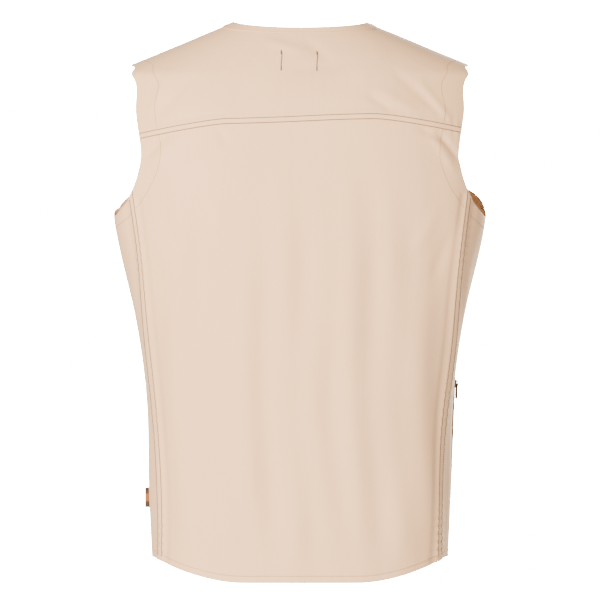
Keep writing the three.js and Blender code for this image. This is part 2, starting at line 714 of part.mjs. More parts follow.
// The coil at one place along the zip, seen from the front: its outer and inner face.
const MAIN_COIL = [coilBack - COIL_DEPTH, tapeY[1]];
const SLIDER_REST_Z = ZIP_LENGTH - SLIDER_LENGTH - 6;
add("zip_slider", zipSlider(MAIN_COIL[0], MAIN_COIL[1], SLIDER_REST_Z), DARK_METAL, zip);
const MAIN_PULL_LENGTH = 30;
const pivotBehind = 1.2; // from the slider's front plate out to the middle of the crossbar
const mainPivotY = MAIN_COIL[0] - CLEARANCE - PLATE - pivotBehind;
const mainPull = zipPull(mainPivotY, SLIDER_REST_Z + SLIDER_PIVOT, MAIN_PULL_LENGTH);
add("zip_pull", mainPull, DARK_METAL, zip);
// The two halves of the separating end: a box on the left tape and a pin on the right one.
const END_HEIGHT = 11;
const END_DEPTH = 3.2;
const endFront = coilBack - END_DEPTH;
const endReach = ZIP_OPENING_HALF - 0.6;
add("zip_box", box(ZIP_GAP, endReach, endFront, coilBack, 0, END_HEIGHT), DARK_METAL, zip);
add("zip_pin", box(-endReach, -ZIP_GAP, endFront, coilBack, 0, END_HEIGHT), DARK_METAL, zip);
// A strip of cloth behind the zip keeps the wind out.
const STORM_HALF = 17;
const STORM_THICK = 1;
const stormY = MAIN_COIL[1] + CLEARANCE + PLATE + 1;
const storm = box(-STORM_HALF, STORM_HALF, stormY, stormY + STORM_THICK, 4, ZIP_LENGTH - 4);
add("storm_flap", storm, POPLIN, zip);

// ---------------------------------------------------------------- pieces that come in pairs

// A copy for one side: the left one as it is, the right one reflected in the plane x = 0.
function copyFor(side, geometry, matrix) {
  const copy = geometry.clone().applyMatrix4(matrix);
  if (side > 0) return copy;
  const positions = [...copy.attributes.position.array].map((p, i) => (i % 3 ? p : -p));
  const count = positions.length / 3;
  const triangles = copy.index ? [...copy.index.array] : Array.from({ length: count }, (_, i) => i);
  return solidFrom(positions, triangles);
}

// A frame in front of the left chest: its X runs along the cloth between two places, its -Y points
// out of the cloth, and its plane y = 0 just clears the bulge between them.
const PATCH_GAP = 0.8;
function frontFrame(x0, x1, zLow, zHigh) {
  const z = (zLow + zHigh) / 2;
  const at = (x, height) => bodyPoint([angleAtX(x, height, -1), height], SHELL + PATCH_GAP);
  const [start, end] = [at(x0, z), at(x1, z)];
  const yaw = Math.atan2(end.y - start.y, end.x - start.x);
  const out = new THREE.Vector3(Math.sin(yaw), -Math.cos(yaw), 0);
  const middle = start.clone().add(end).multiplyScalar(0.5);
  let bulge = 0;
  for (let i = 0; i <= 8; i++)
    for (const height of [zLow, z, zHigh]) {
      const point = at(mix(x0, x1, i / 8), height);
      bulge = Math.max(bulge, point.sub(middle).dot(out));
    }
  middle.addScaledVector(out, bulge);
  const width = Math.hypot(end.x - start.x, end.y - start.y);
  const matrix = new THREE.Matrix4().makeRotationZ(yaw);
  return { matrix: matrix.setPosition(middle.x, middle.y, 0), width };
}
// What the cloth of the left front fills, with the gap that a piece sewn on it keeps.
const frontBlock = clothSheet(front, 16, FRONT_ROWS, -14, SHELL + PATCH_GAP);

// A polyline in [y, z] thickened into a closed outline.
function strip(points, thickness) {
  const normals = points.slice(1).map(([y, z], i) => {
    const [dy, dz] = [y - points[i][0], z - points[i][1]];
    const length = Math.hypot(dy, dz);
    return [dz / length, -dy / length];
  });
  const offset = (distance) =>
    points.map(([y, z], i) => {
      const before = normals[Math.max(i - 1, 0)];
      const after = normals[Math.min(i, normals.length - 1)];
      const sum = [before[0] + after[0], before[1] + after[1]];
      const scale = (2 * distance) / (sum[0] ** 2 + sum[1] ** 2);
      return [y + sum[0] * scale, z + sum[1] * scale];
    });
  return [...offset(thickness / 2), ...offset(-thickness / 2).reverse()];
}

// ---------------------------------------------------------------- flap pockets with snaps

const POCKET_WALL = 1.4;
const FLAP_WALL = 1.6;
const FLAP_OVERHANG = 3; // on each side of the pocket
const SNAP_GAP = 0.3;
const STUD_BASE = 0.6;
const STUD_KNOB = 1.2;
const SOCKET_RISE = 0.5;
const SOCKET_DEPTH = 1.6;
const CAP_THICK = 1.2;
const POCKETS = {
  pocket: { x0: 38, x1: 158, low: 66, high: 262, depth: 20, fall: 18, drop: 64 },
  chest_pocket: { x0: 46, x1: 154, low: 330, high: 446, depth: 11, fall: 12, drop: 50 },
};

function pocketParts({ x0, x1, low, high, depth, fall, drop }) {
  const { matrix, width } = frontFrame(x0, x1, low, high + fall);
  const half = width / 2;
  const outer = bar(
    [
      [14, high],
      [0, high],
      [-depth, high - fall],
      [-depth, low],
      [14, low],
    ],
    -half,
    half,
  );
  const hollow = bar(
    [
      [15, high + 9],
      [POCKET_WALL - depth, high + 9],
      [POCKET_WALL - depth, low + POCKET_WALL],
      [15, low + POCKET_WALL],
    ],
    POCKET_WALL - half,
    half - POCKET_WALL,
  );
  const inverse = matrix.clone().invert();
  const body = cut(outer, hollow, frontBlock.clone().applyMatrix4(inverse));

  const socketFace = -depth - SNAP_GAP - STUD_BASE - SOCKET_RISE;
  const flapInner = socketFace - SOCKET_DEPTH - SNAP_GAP;
  const flapY = flapInner - FLAP_WALL / 2;
  const hinge = [-1.6, high + 10];
  const kneeZ = hinge[1] - fall - 3;
  const end = hinge[1] - drop;
  const flapHalf = half + FLAP_OVERHANG;
  const outline = strip([hinge, [flapY, kneeZ], [flapY, end]], FLAP_WALL);
  const snapZ = end + 14;
  const snapHole = new THREE.CylinderGeometry(2.2, 2.2, 6, 16).translate(0, flapY, snapZ);
  const flap = cut(bar(outline, -flapHalf, flapHalf), snapHole);

  const turned = (profile) =>
    new THREE.LatheGeometry(profile.map(([r, y]) => new THREE.Vector2(r, y)), 14);
  const stud = turned([
    [0, -depth - SNAP_GAP - STUD_BASE - STUD_KNOB],
    [2.2, -depth - SNAP_GAP - STUD_BASE - STUD_KNOB],
    [2.2, -depth - SNAP_GAP - STUD_BASE],
    [5, -depth - SNAP_GAP - STUD_BASE],
    [5, -depth - SNAP_GAP],
    [0, -depth - SNAP_GAP],
  ]);
  const capIn = flapInner - FLAP_WALL - SNAP_GAP;
  const cap = turned([
    [0, capIn - CAP_THICK],
    [6, capIn - CAP_THICK],
    [6, capIn],
    [1.7, capIn],
    [1.7, flapInner + SNAP_GAP],
    [5.2, flapInner + SNAP_GAP],
    [5.2, socketFace],
    [3.2, socketFace],
    [3.2, socketFace - 1.1],
    [0, socketFace - 1.1],
  ]);
  stud.translate(0, 0, snapZ);
  cap.translate(0, 0, snapZ);
  return { matrix, pieces: { body, flap, stud, cap } };
}

for (const [kind, sizes] of Object.entries(POCKETS)) {
  const { matrix, pieces } = pocketParts(sizes);
  for (const [name, side] of SIDES) {
    add(`${kind}_${name}`, copyFor(side, pieces.body, matrix), POPLIN);
    add(`${kind}_flap_${name}`, copyFor(side, pieces.flap, matrix), POPLIN);
    add(`${kind}_stud_${name}`, copyFor(side, pieces.stud, matrix), DARK_METAL);
    add(`${kind}_cap_${name}`, copyFor(side, pieces.cap, matrix), DARK_METAL);
  }
}

// ---------------------------------------------------------------- hand pockets at the sides

// Their zips stand upright beside the side seams; each slider is a saddle over the coil.
const SIDE_ZIP_ANGLES = { left: -0.58, right: -0.47 }; // the right one lies further round the side
const SIDE_ZIP_Z = [104, 262];
const SIDE_PULL_LENGTH = 20;
const SIDE_TAPE_HALF = 7;
function sideZipFrame(angle) {
  const low = bodyPoint([angle, SIDE_ZIP_Z[0]], SHELL + LAYER_GAP);
  const high = bodyPoint([angle, SIDE_ZIP_Z[1]], SHELL + LAYER_GAP);
  const inner = bodyPoint([angle, SIDE_ZIP_Z[0]], SHELL);
  const up = high.clone().sub(low);
  const length = up.length();
  up.normalize();
  const inward = inner.sub(low);
  inward.addScaledVector(up, -inward.dot(up)).normalize();
  const across = inward.clone().cross(up);
  return { length, matrix: new THREE.Matrix4().makeBasis(across, inward, up).setPosition(low) };
}
const RIDGE_FACE = -TAPE_THICK - COIL_DEPTH;
function sideSlider(lowZ) {
  const highZ = lowZ + SLIDER_LENGTH;
  const front = RIDGE_FACE - CLEARANCE;
  const face = front - PLATE;
  const wall = (x0, x1) => box(x0, x1, front - 0.1, -TAPE_THICK - CLEARANCE, lowZ, highZ);
  const inner = COIL_WIDTH / 2 + CLEARANCE;
  const arch = bar(
    [
      [face + 0.1, lowZ + 2],
      [face + 0.1, highZ - 1],
      [face - BRIDGE_RISE, highZ - 2],
      [face - BRIDGE_RISE, lowZ + 3],
    ],
    -BRIDGE_HALF,
    BRIDGE_HALF,
  );
  const eye = box(-3, 3, face - BRIDGE_RISE + 1, face, lowZ + 4, highZ - 3);
  const plate = box(-SLIDER_HALF + 1, SLIDER_HALF - 1, face, front, lowZ, highZ);
  return join(plate, wall(-inner - 1, -inner), wall(inner, inner + 1), cut(arch, eye));
}
const sidePivotY = RIDGE_FACE - CLEARANCE - PLATE - pivotBehind;
for (const [name, side] of SIDES) {
  const { length, matrix } = sideZipFrame(SIDE_ZIP_ANGLES[name]);
  const tape = join(
    box(-SIDE_TAPE_HALF, SIDE_TAPE_HALF, -TAPE_THICK, 0, 0, length),
    box(-COIL_WIDTH / 2, COIL_WIDTH / 2, RIDGE_FACE, -TAPE_THICK / 2, 2, length - 2),
  );
  const rest = length - SLIDER_LENGTH - 4;
  const pull = zipPull(sidePivotY, rest + SLIDER_PIVOT, SIDE_PULL_LENGTH);
  add(`side_zip_${name}`, copyFor(side, tape, matrix), TAPE);
  add(`side_slider_${name}`, copyFor(side, sideSlider(rest), matrix), DARK_METAL);
  add(`side_pull_${name}`, copyFor(side, pull, matrix), DARK_METAL);
}

// ---------------------------------------------------------------- D-rings and fly patch

const RING_WIRE = 1.1; // half the wire's thickness
const RING_BEVEL = 0.4;
const RING_HALF = 12;
const RING_SHOULDER = 3; // depth of the straight sides under the bar
const RING_X = 112;
const RING_Z = 512;
const TAB_HALF = 9;
const TAB_HOLE = RING_WIRE + 0.6; // the wire turns freely in it
const TAB_RADIUS = TAB_HOLE + 1.3;
const TAB_BACK = -0.6; // the folded tape lies this far in front of its frame's plane
const TAB_THICK = 1.2;
const TAB_HEIGHT = 18;
const ringAxisY = TAB_BACK - TAB_RADIUS;
const ringLow = RING_Z - 2 * RING_HALF;
const ringHigh = RING_Z + TAB_HEIGHT;
const ringFrame = frontFrame(RING_X - RING_HALF, RING_X + RING_HALF, ringLow, ringHigh);
const ringTab = cut(
  join(
    box(-TAB_HALF, TAB_HALF, TAB_BACK - TAB_THICK, TAB_BACK, RING_Z, ringHigh),
    pin(TAB_RADIUS, -TAB_HALF, TAB_HALF, ringAxisY, RING_Z, 18),
  ),
  pin(TAB_HOLE, -TAB_HALF - 1, TAB_HALF + 1, ringAxisY, RING_Z, 14),
);
// Bent from wire: a straight bar through the tab, with a half round hanging under it.
function dRing() {
  const outline = (radius, top) => {
    const path = new THREE.Path();
    path.moveTo(-radius, top);
    path.lineTo(-radius, -RING_SHOULDER);
    path.absarc(0, -RING_SHOULDER, radius, Math.PI, 0, false);
    path.lineTo(radius, top);
    return path;
  };
  const edge = RING_WIRE - RING_BEVEL;
  const shape = new THREE.Shape(outline(RING_HALF + edge, edge).getPoints(8));
  shape.holes.push(new THREE.Path(outline(RING_HALF - edge, -edge).getPoints(8)));
  const settings = {
    depth: 2 * edge,
    bevelEnabled: true,
    bevelThickness: RING_BEVEL,
    bevelSize: RING_BEVEL,
    bevelSegments: 1,
  };
  const ring = new THREE.ExtrudeGeometry(shape, settings).translate(0, 0, -edge);
  ring.rotateX(QUARTER).translate(0, ringAxisY, RING_Z);
  return fromManifold(toManifold(ring));
}
for (const [name, side] of SIDES) {
  add(`ring_tab_${name}`, copyFor(side, ringTab, ringFrame.matrix), TAPE);
  add(`d_ring_${name}`, copyFor(side, dRing(), ringFrame.matrix), DARK_METAL);
}

const PATCH_X = [-82, -42];
const PATCH_Z = [474, 520];
const patchPlace = (u, v) => {
  const z = mix(PATCH_Z[0], PATCH_Z[1], v);
  return [angleAtSignedX(mix(PATCH_X[0], PATCH_X[1], u), z, -1), z];
};
const PATCH_FACE = SHELL + LAYER_GAP;
const PILE = 4;
add("fly_patch", clothSheet(patchPlace, 3, 2, PATCH_FACE, PATCH_FACE + PILE), FLEECE);

export default vest;
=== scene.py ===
"""The looks of a sleeveless fishing vest with a V neck, hanging as on an invisible wearer.
It faces -Y with the wearer's left hand at +X. Shapes are worked out in millimetres and turned to metres as each mesh is made."""

import math
import bpy
import numpy as np
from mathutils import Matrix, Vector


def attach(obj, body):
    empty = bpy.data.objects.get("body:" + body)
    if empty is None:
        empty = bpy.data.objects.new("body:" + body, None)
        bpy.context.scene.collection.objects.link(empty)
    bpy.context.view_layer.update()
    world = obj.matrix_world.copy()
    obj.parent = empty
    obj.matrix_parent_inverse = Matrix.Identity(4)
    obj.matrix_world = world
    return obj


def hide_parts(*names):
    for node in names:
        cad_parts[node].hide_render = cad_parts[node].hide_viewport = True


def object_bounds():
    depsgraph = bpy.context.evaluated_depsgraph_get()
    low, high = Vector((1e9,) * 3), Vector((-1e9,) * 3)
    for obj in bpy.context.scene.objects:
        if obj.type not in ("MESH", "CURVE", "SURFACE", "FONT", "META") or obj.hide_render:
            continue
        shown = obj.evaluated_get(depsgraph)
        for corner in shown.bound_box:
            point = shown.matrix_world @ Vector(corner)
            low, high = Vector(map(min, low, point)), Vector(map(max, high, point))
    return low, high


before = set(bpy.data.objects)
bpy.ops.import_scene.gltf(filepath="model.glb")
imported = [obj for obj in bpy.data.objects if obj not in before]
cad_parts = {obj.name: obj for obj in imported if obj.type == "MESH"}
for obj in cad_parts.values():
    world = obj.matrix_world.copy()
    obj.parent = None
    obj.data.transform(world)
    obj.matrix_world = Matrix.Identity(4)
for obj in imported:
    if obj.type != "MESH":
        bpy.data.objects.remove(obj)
cad_box = [list(corner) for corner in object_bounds()]

# ---------------------------------------------------------------- studio
# A pale floor below the hanging vest, an even white room and two large soft lamps.
# The camera stands far behind the wearer and level with the middle of the back, so the view is almost flat.

tall = cad_box[1][2] - cad_box[0][2]
eye_height = cad_box[0][2] + 0.501 * tall
eye_distance = 16.0
seen_width = 1.071 * tall
camera = bpy.data.objects.new("camera", bpy.data.cameras.new("camera"))
camera.data.sensor_width = 36
camera.data.lens = 36 * eye_distance / seen_width
camera.data.clip_end = 60
camera.location = (0, eye_distance, eye_height)
camera.rotation_euler = (math.pi / 2, 0, math.pi)
bpy.context.scene.collection.objects.link(camera)
bpy.context.scene.camera = camera

room = bpy.data.worlds.new("room")
bpy.context.scene.world = room
room.use_nodes = True
wires, air = room.node_tree.links, room.node_tree.nodes["Background"]
air.inputs["Color"].default_value = (1, 0.88, 0.72, 1)
backdrop = room.node_tree.nodes.new("ShaderNodeBackground")
backdrop.inputs["Color"].default_value = (1, 1, 1, 1)
seen_or_lit = room.node_tree.nodes.new("ShaderNodeMixShader")
ray = room.node_tree.nodes.new("ShaderNodeLightPath")
wires.new(ray.outputs["Is Camera Ray"], seen_or_lit.inputs["Fac"])
wires.new(air.outputs["Background"], seen_or_lit.inputs[1])
wires.new(backdrop.outputs["Background"], seen_or_lit.inputs[2])
wires.new(seen_or_lit.outputs["Shader"], room.node_tree.nodes["World Output"].inputs["Surface"])
ROOM_LIGHT = 0.75
BACKDROP_LIGHT = 60.0
air.inputs["Strength"].default_value = ROOM_LIGHT
backdrop.inputs["Strength"].default_value = BACKDROP_LIGHT

for lamp_name, power, size, place, aim in (
    ("back_lamp", 190, 1.1, (1.0, 2.3, 0.9), (0, 0, 0.45)),
    ("front_lamp", 160, 1.1, (-1.0, -2.3, 0.95), (0, 0, 0.45)),
):
    lamp = bpy.data.objects.new(lamp_name, bpy.data.lights.new(lamp_name, "AREA"))
    lamp.data.energy = power
    lamp.data.size = size
    lamp.data.color = (1, 0.88, 0.72)
    lamp.location = place
    toward = np.array(place) - np.array(aim)
    lamp.rotation_euler = (math.acos(toward[2] / np.linalg.norm(toward)), 0, math.atan2(toward[0], -toward[1]))
    lamp.visible_camera = False
    bpy.context.scene.collection.objects.link(lamp)

floor_mesh = bpy.data.meshes.new("floor")
reach = 3.0
floor_mesh.from_pydata(
    [(-reach, -reach, -0.5), (reach, -reach, -0.5), (reach, reach, -0.5), (-reach, reach, -0.5)], [],
    [(0, 1, 2, 3)]
)
floor = bpy.data.objects.new("floor", floor_mesh)
bpy.context.scene.collection.objects.link(floor)
floor_paint = bpy.data.materials.new("floor_paint")
floor_paint.use_nodes = True
floor_paint.node_tree.nodes["Principled BSDF"].inputs["Base Color"].default_value = (0.86, 0.86, 0.85, 1)
floor_paint.node_tree.nodes["Principled BSDF"].inputs["Roughness"].default_value = 0.7
floor_mesh.materials.append(floor_paint)

# ---------------------------------------------------------------- centre back
# The back is one wide panel of sand poly-cotton poplin from the hem up to the yoke.
# It hangs in soft upright folds, and its side edges are turned over the side backs and sewn down.

MM = 0.001
QUARTER = math.pi / 2
SHELL = 1.2
CLOTH = 0.5
HALF_WIDTHS = [(0, 187), (110, 192), (230, 195), (330, 208), (465, 237), (600, 243)]
BACK_DEPTHS = [(0, 104), (200, 100), (340, 109), (500, 118), (600, 108), (660, 88), (714, 62)]
BACK_ROUNDNESS = 2.6
FRONT_ROUNDNESS = 3.6
FRONT_SWEEP = 0.15
FRONT_HEM_DEPTH = 112
FRONT_NECK_DEPTH = 126
FRONT_TOP_FALL = 77
DEPTH_SHIFT = 15
NECK_HALF_WIDTH = 85
NECK_POINT_Z = 714
NAPE_DROP = 8
V_POINT_Z = 500
SHOULDER_SLOPE = 0.415
SHOULDER_TIP_Z = 660
SHOULDER_BLEND = 9
SIDE_HEM_RISE = 32
HEM_LEVEL_HALF = 75
FRONT_HEM_Z = 14


def through(stations, heights):
    """Smooth curve through (height, value) stations. Each span is a cubic with the straight slope across
    the neighbouring stations at both its ends, and the curve is level beyond the first and last."""
    known, values = np.array(stations, float).T
    at = np.clip(np.asarray(heights, float), known[0], known[-1])
    order = np.arange(len(known))
    before, after = np.maximum(order - 1, 0), np.minimum(order + 1, len(known) - 1)
    slopes = (values[after] - values[before]) / (known[after] - known[before])
    i = np.clip(np.searchsorted(known, at, side="right") - 1, 0, len(known) - 2)
    span = known[i + 1] - known[i]
    t = (at - known[i]) / span
    bend = span * (slopes[i] * t * (1 - t) ** 2 - slopes[i + 1] * t * t * (1 - t))
    return values[i] + (values[i + 1] - values[i]) * t * t * (3 - 2 * t) + bend


def half_width(z):
    """The smaller of the body's width and the shoulder slope, with the corner between them rounded."""
    wide, slope = through(HALF_WIDTHS, z), NECK_HALF_WIDTH + (NECK_POINT_Z - z) / SHOULDER_SLOPE
    near = np.maximum(SHOULDER_BLEND - np.abs(wide - slope), 0) / SHOULDER_BLEND
    return np.minimum(wide, slope) - near * near * SHOULDER_BLEND / 4


def front_depth(z):
    """A straight line from hem to V point, less a rising curve above it as the chest leans back."""
    level = FRONT_HEM_DEPTH + (FRONT_NECK_DEPTH - FRONT_HEM_DEPTH) * z / V_POINT_Z
    above = np.maximum(z - V_POINT_Z, 0) / (NECK_POINT_Z - V_POINT_Z)
    return level - FRONT_TOP_FALL * above**2.2


def body(angle, z):
    """Point of the body at an angle round it, from the left side over the back, and a height.
    Each level is a superellipse; its front half also falls back in step with the distance from the centre."""
    angle, z = np.broadcast_arrays(np.asarray(angle, float), np.asarray(z, float))
    c, s = np.cos(angle), np.sin(angle)
    power = np.where(s >= 0, BACK_ROUNDNESS, FRONT_ROUNDNESS)
    scale = (np.abs(c) ** power + np.abs(s) ** power) ** (-1 / power)
    x = half_width(z) * c * scale
    front = np.maximum(front_depth(z) - FRONT_SWEEP * (np.hypot(x, 20) - 20), 5)
    depth = np.where(s >= 0, through(BACK_DEPTHS, z), front)
    return np.stack([x, depth * s * scale + DEPTH_SHIFT, z], -1)


def outward(angle, z):
    """Unit normal of the body: the cross product of a short step round it and a short step up."""
    round_it = body(angle + 1e-3, z) - body(angle - 1e-3, z)
    up = body(angle, z + 0.5) - body(angle, z - 0.5)
    normal = np.cross(round_it, up)
    return normal / np.linalg.norm(normal, axis=-1, keepdims=True)


def angle_at(axis, target, z, half):
    """Angle where the body has a given x (axis 0) or depth (axis 1), on its back (+1) or front (-1) half,
    found by halving a quarter turn forty times."""
    target, z = np.broadcast_arrays(np.asarray(target, float), np.asarray(z, float))
    low, high = np.zeros(z.shape), np.full(z.shape, QUARTER)
    for _ in range(40):
        middle = (low + high) / 2
        point = body(half * middle, z)
        beyond = point[..., 0] < target if axis == 0 else np.abs(point[..., 1] - DEPTH_SHIFT) > target
        high, low = np.where(beyond, middle, high), np.where(beyond, low, middle)
    return half * (low + high) / 2


def hem_z(angle):
    """Height of the hem: level behind and curving up to the sides, and a cubic rise across the front."""
    x = np.abs(body(angle, SIDE_HEM_RISE)[..., 0])
    side = half_width(np.float64(SIDE_HEM_RISE))
    front = FRONT_HEM_Z + (SIDE_HEM_RISE - FRONT_HEM_Z) * (x / side) ** 3
    back = SIDE_HEM_RISE * (np.maximum(x - HEM_LEVEL_HALF, 0) / (side - HEM_LEVEL_HALF)) ** 1.8
    return np.where(np.sin(angle) < 0, front, back)


ARMHOLE_BOTTOM_Z = 465
ARMHOLE_BACK_REACH = 80
ARMHOLE_REACH_FALL = 10
ARMHOLE_FALL_Z = (535, 615)
ARMHOLE_ROUNDNESS, ARMHOLE_TOP_ROUNDNESS = 2.8, 4
ARMHOLE_FRONT_INSET = 3
ARMHOLE_SHOW_TURN = 0.09
FRONT_SHOW = {"left": 3.0, "right": 5.5}  # how far the front edge stands out near the underarm


def armhole(turn, half, margin=0.0, show=5.0):
    """The back of the armhole (half +1) is half an oval seen from the side: turn 0 is under the arm and a
    half is the shoulder tip. The front (half -1) has the same heights and nearly the same half widths, so
    it hides behind the back except near the underarm, where a bell pushes it out. A margin widens both."""
    turn = np.asarray(turn, float)
    sine, cosine = np.abs(np.sin(turn * 2 * math.pi)), np.cos(turn * 2 * math.pi)
    q = np.where(cosine > 0, ARMHOLE_ROUNDNESS, ARMHOLE_TOP_ROUNDNESS)
    scale = (sine**q + np.abs(cosine) ** q) ** (-1 / q)
    oval = (SHOULDER_TIP_Z - ARMHOLE_BOTTOM_Z) / 2
    rise = margin * np.where(cosine > 0, 1, SHOULDER_SLOPE * 0.93)
    z = ARMHOLE_BOTTOM_Z + oval - (oval + rise) * cosine * scale
    w = np.clip((z - ARMHOLE_FALL_Z[0]) / (ARMHOLE_FALL_Z[1] - ARMHOLE_FALL_Z[0]), 0, 1)
    reach = ARMHOLE_BACK_REACH - ARMHOLE_REACH_FALL * w * w * (3 - 2 * w) + margin
    angle = angle_at(1, reach * sine * scale, z, 1)
    if half > 0:
        return angle, z
    bell = np.exp(-(((turn - ARMHOLE_SHOW_TURN) / 0.04) ** 2))
    hidden = np.minimum(1, sine / 0.3) * (1 - bell)
    x = body(angle, z)[..., 0] + show * bell - ARMHOLE_FRONT_INSET * hidden
    return angle_at(0, x, z, -1), z


YOKE_SEAM_Z = 586
YOKE_SEAM_DROP = 18
YOKE_LEVEL_HALF = 95
YOKE_SEAM_TILT = 4
YOKE_LAP = 10


def yoke_seam(x):
    """Height of the yoke's lower edge: level in the middle, falling to the armholes, and a little lower
    on the wearer's left, because the cloth isn't quite straight on the body."""
    out = np.maximum(np.abs(x) - YOKE_LEVEL_HALF, 0) / 110
    return YOKE_SEAM_Z - YOKE_SEAM_DROP * out**1.3 - YOKE_SEAM_TILT * np.tanh(x / 90)


# Half width of the centre back where its seams run, by height.
BACK_PANEL_HALF_WIDTHS = [(33, 175), (180, 180), (300, 191), (400, 199), (494, 212)]
SIDE_LAP = 6.5  # how far the turned edge lies over the side back


def seam_top(gap):
    """Turn of the armhole where the side-back seam, moved out by a gap, runs into it, by thirty halvings."""
    low, high = 0.0, 0.3
    for _ in range(30):
        middle = (low + high) / 2
        angle, z = armhole(middle, 1)
        if body(angle, z)[0] > through(BACK_PANEL_HALF_WIDTHS, z) + gap:
            low = middle
        else:
            high = middle
    return low


def side_back_seam(t, gap):
    """The side-back seam from hem (0) to armhole (1), moved out by a gap."""
    foot = angle_at(0, BACK_PANEL_HALF_WIDTHS[0][1] + gap, SIDE_HEM_RISE, 1)
    low, high = hem_z(foot), armhole(seam_top(gap), 1)[1]
    z = low + (high - low) * np.asarray(t, float)
    return angle_at(0, through(BACK_PANEL_HALF_WIDTHS, z) + gap, z, 1), z


def yoke_end(side, lift=0.0, margin=0.0):
    """Turn of the armhole where the yoke's lower edge runs into it on one side, by thirty halvings."""
    low, high = 0.0, 0.5
    for _ in range(30):
        middle = (low + high) / 2
        angle, z = armhole(middle, 1, margin)
        if z < yoke_seam(side * body(angle, z)[0]) + lift:
            low = middle
        else:
            high = middle
    return low


def crowded(count, share=0.65):
    """Even steps from 0 to 1, drawn towards both ends by a sine, so that edges get the finest cloth."""
    t = np.linspace(0, 1, count + 1)
    return t - share * np.sin(2 * math.pi * t) / (2 * math.pi)


def filled(bottom, top, start, end, u, v):
    """Fills a four-sided region of the body: the two blends between opposite edges are added, and the
    blend of the corners is taken off. Each edge gives an angle and a height."""
    u, v = np.asarray(u, float)[None, :], np.asarray(v, float)[:, None]
    out = []
    for k in (0, 1):
        b, t, s, e = bottom(u)[k], top(u)[k], start(v)[k], end(v)[k]
        corners = [np.ravel(edge(np.array([[w]]))[k])[0] for edge in (bottom, top) for w in (0.0, 1.0)]
        across = (b * (1 - v) + t * v) + (s * (1 - u) + e * u)
        low = corners[0] * (1 - u) + corners[1] * u
        high = corners[2] * (1 - u) + corners[3] * u
        out.append(across - (low * (1 - v) + high * v))
    return out


def joined(*edges):
    """One edge out of several pieces: (share of the parameter where it ends, function of 0 to 1)."""

    def edge(w):
        w = np.asarray(w, float)
        angle, z, begin = np.zeros(w.shape), np.zeros(w.shape), 0.0
        for stop, piece in edges:
            inside = (w >= begin) if begin else np.full(w.shape, True)
            a, h = piece(np.clip((w - begin) / (stop - begin), 0, 1))
            angle, z, begin = np.where(inside, a, angle), np.where(inside, h, z), stop
        return angle, z

    return edge


def mirrored(edge):
    """The same edge on the wearer's right."""

    def other(w):
        angle, z = edge(w)
        return math.pi - angle, z

    return other


def fold(x, z, foot, head, width, rise):
    """A soft fold: a bell across the line from foot to head, dying away past both its ends."""
    line = np.subtract(head, foot)
    length = math.hypot(*line)
    along = ((x - foot[0]) * line[0] + (z - foot[1]) * line[1]) / length
    aside = ((x - foot[0]) * line[1] - (z - foot[1]) * line[0]) / length
    past = np.maximum(np.maximum(-along, along - length), 0)
    ease = np.clip(np.minimum(along, length - along) / (0.35 * length) + 0.35, 0, 1)
    return rise * ease * np.exp(-((aside / width) ** 2) - (past / (0.8 * width)) ** 2)


# The folds that the body and the seams pull into the back: foot, head, width and rise.
BACK_FOLDS = [
    ((-176, 600), (-118, 652), 5.5, -1.1),
    ((-190, 590), (-150, 640), 4.5, 0.9),
    ((-152, 596), (-100, 628), 8.0, 1.0),
    ((-118, 600), (-84, 622), 5.0, -0.8),
    ((176, 596), (140, 646), 6.0, -1.1),
    ((190, 600), (166, 650), 4.5, 1.0),
    ((86, 604), (64, 634), 9.0, -0.7),
    ((-204, 536), (-176, 574), 4.5, -1.2),
    ((-196, 524), (-166, 572), 6.0, 1.0),
    ((-186, 560), (-150, 580), 5.0, -0.8),
    ((198, 540), (170, 570), 5.0, -1.2),
    ((186, 532), (158, 566), 7.0, 0.9),
    ((92, 556), (104, 578), 4.0, -1.0),
    ((-38, 664), (-6, 690), 7.0, -0.9),
    ((-2, 676), (44, 690), 6.0, 0.8),
    ((14, 650), (-60, 662), 7.0, -0.6),
    ((-70, 640), (-108, 676), 11.0, 0.9),
    ((176, 470), (150, 420), 9.0, -0.8),
    ((-176, 478), (-146, 420), 9.0, 0.8),
    ((188, 440), (160, 380), 8.0, 0.8),
    ((-194, 452), (-168, 384), 8.0, -0.9),
]


FOLD_DEPTH = 1.8


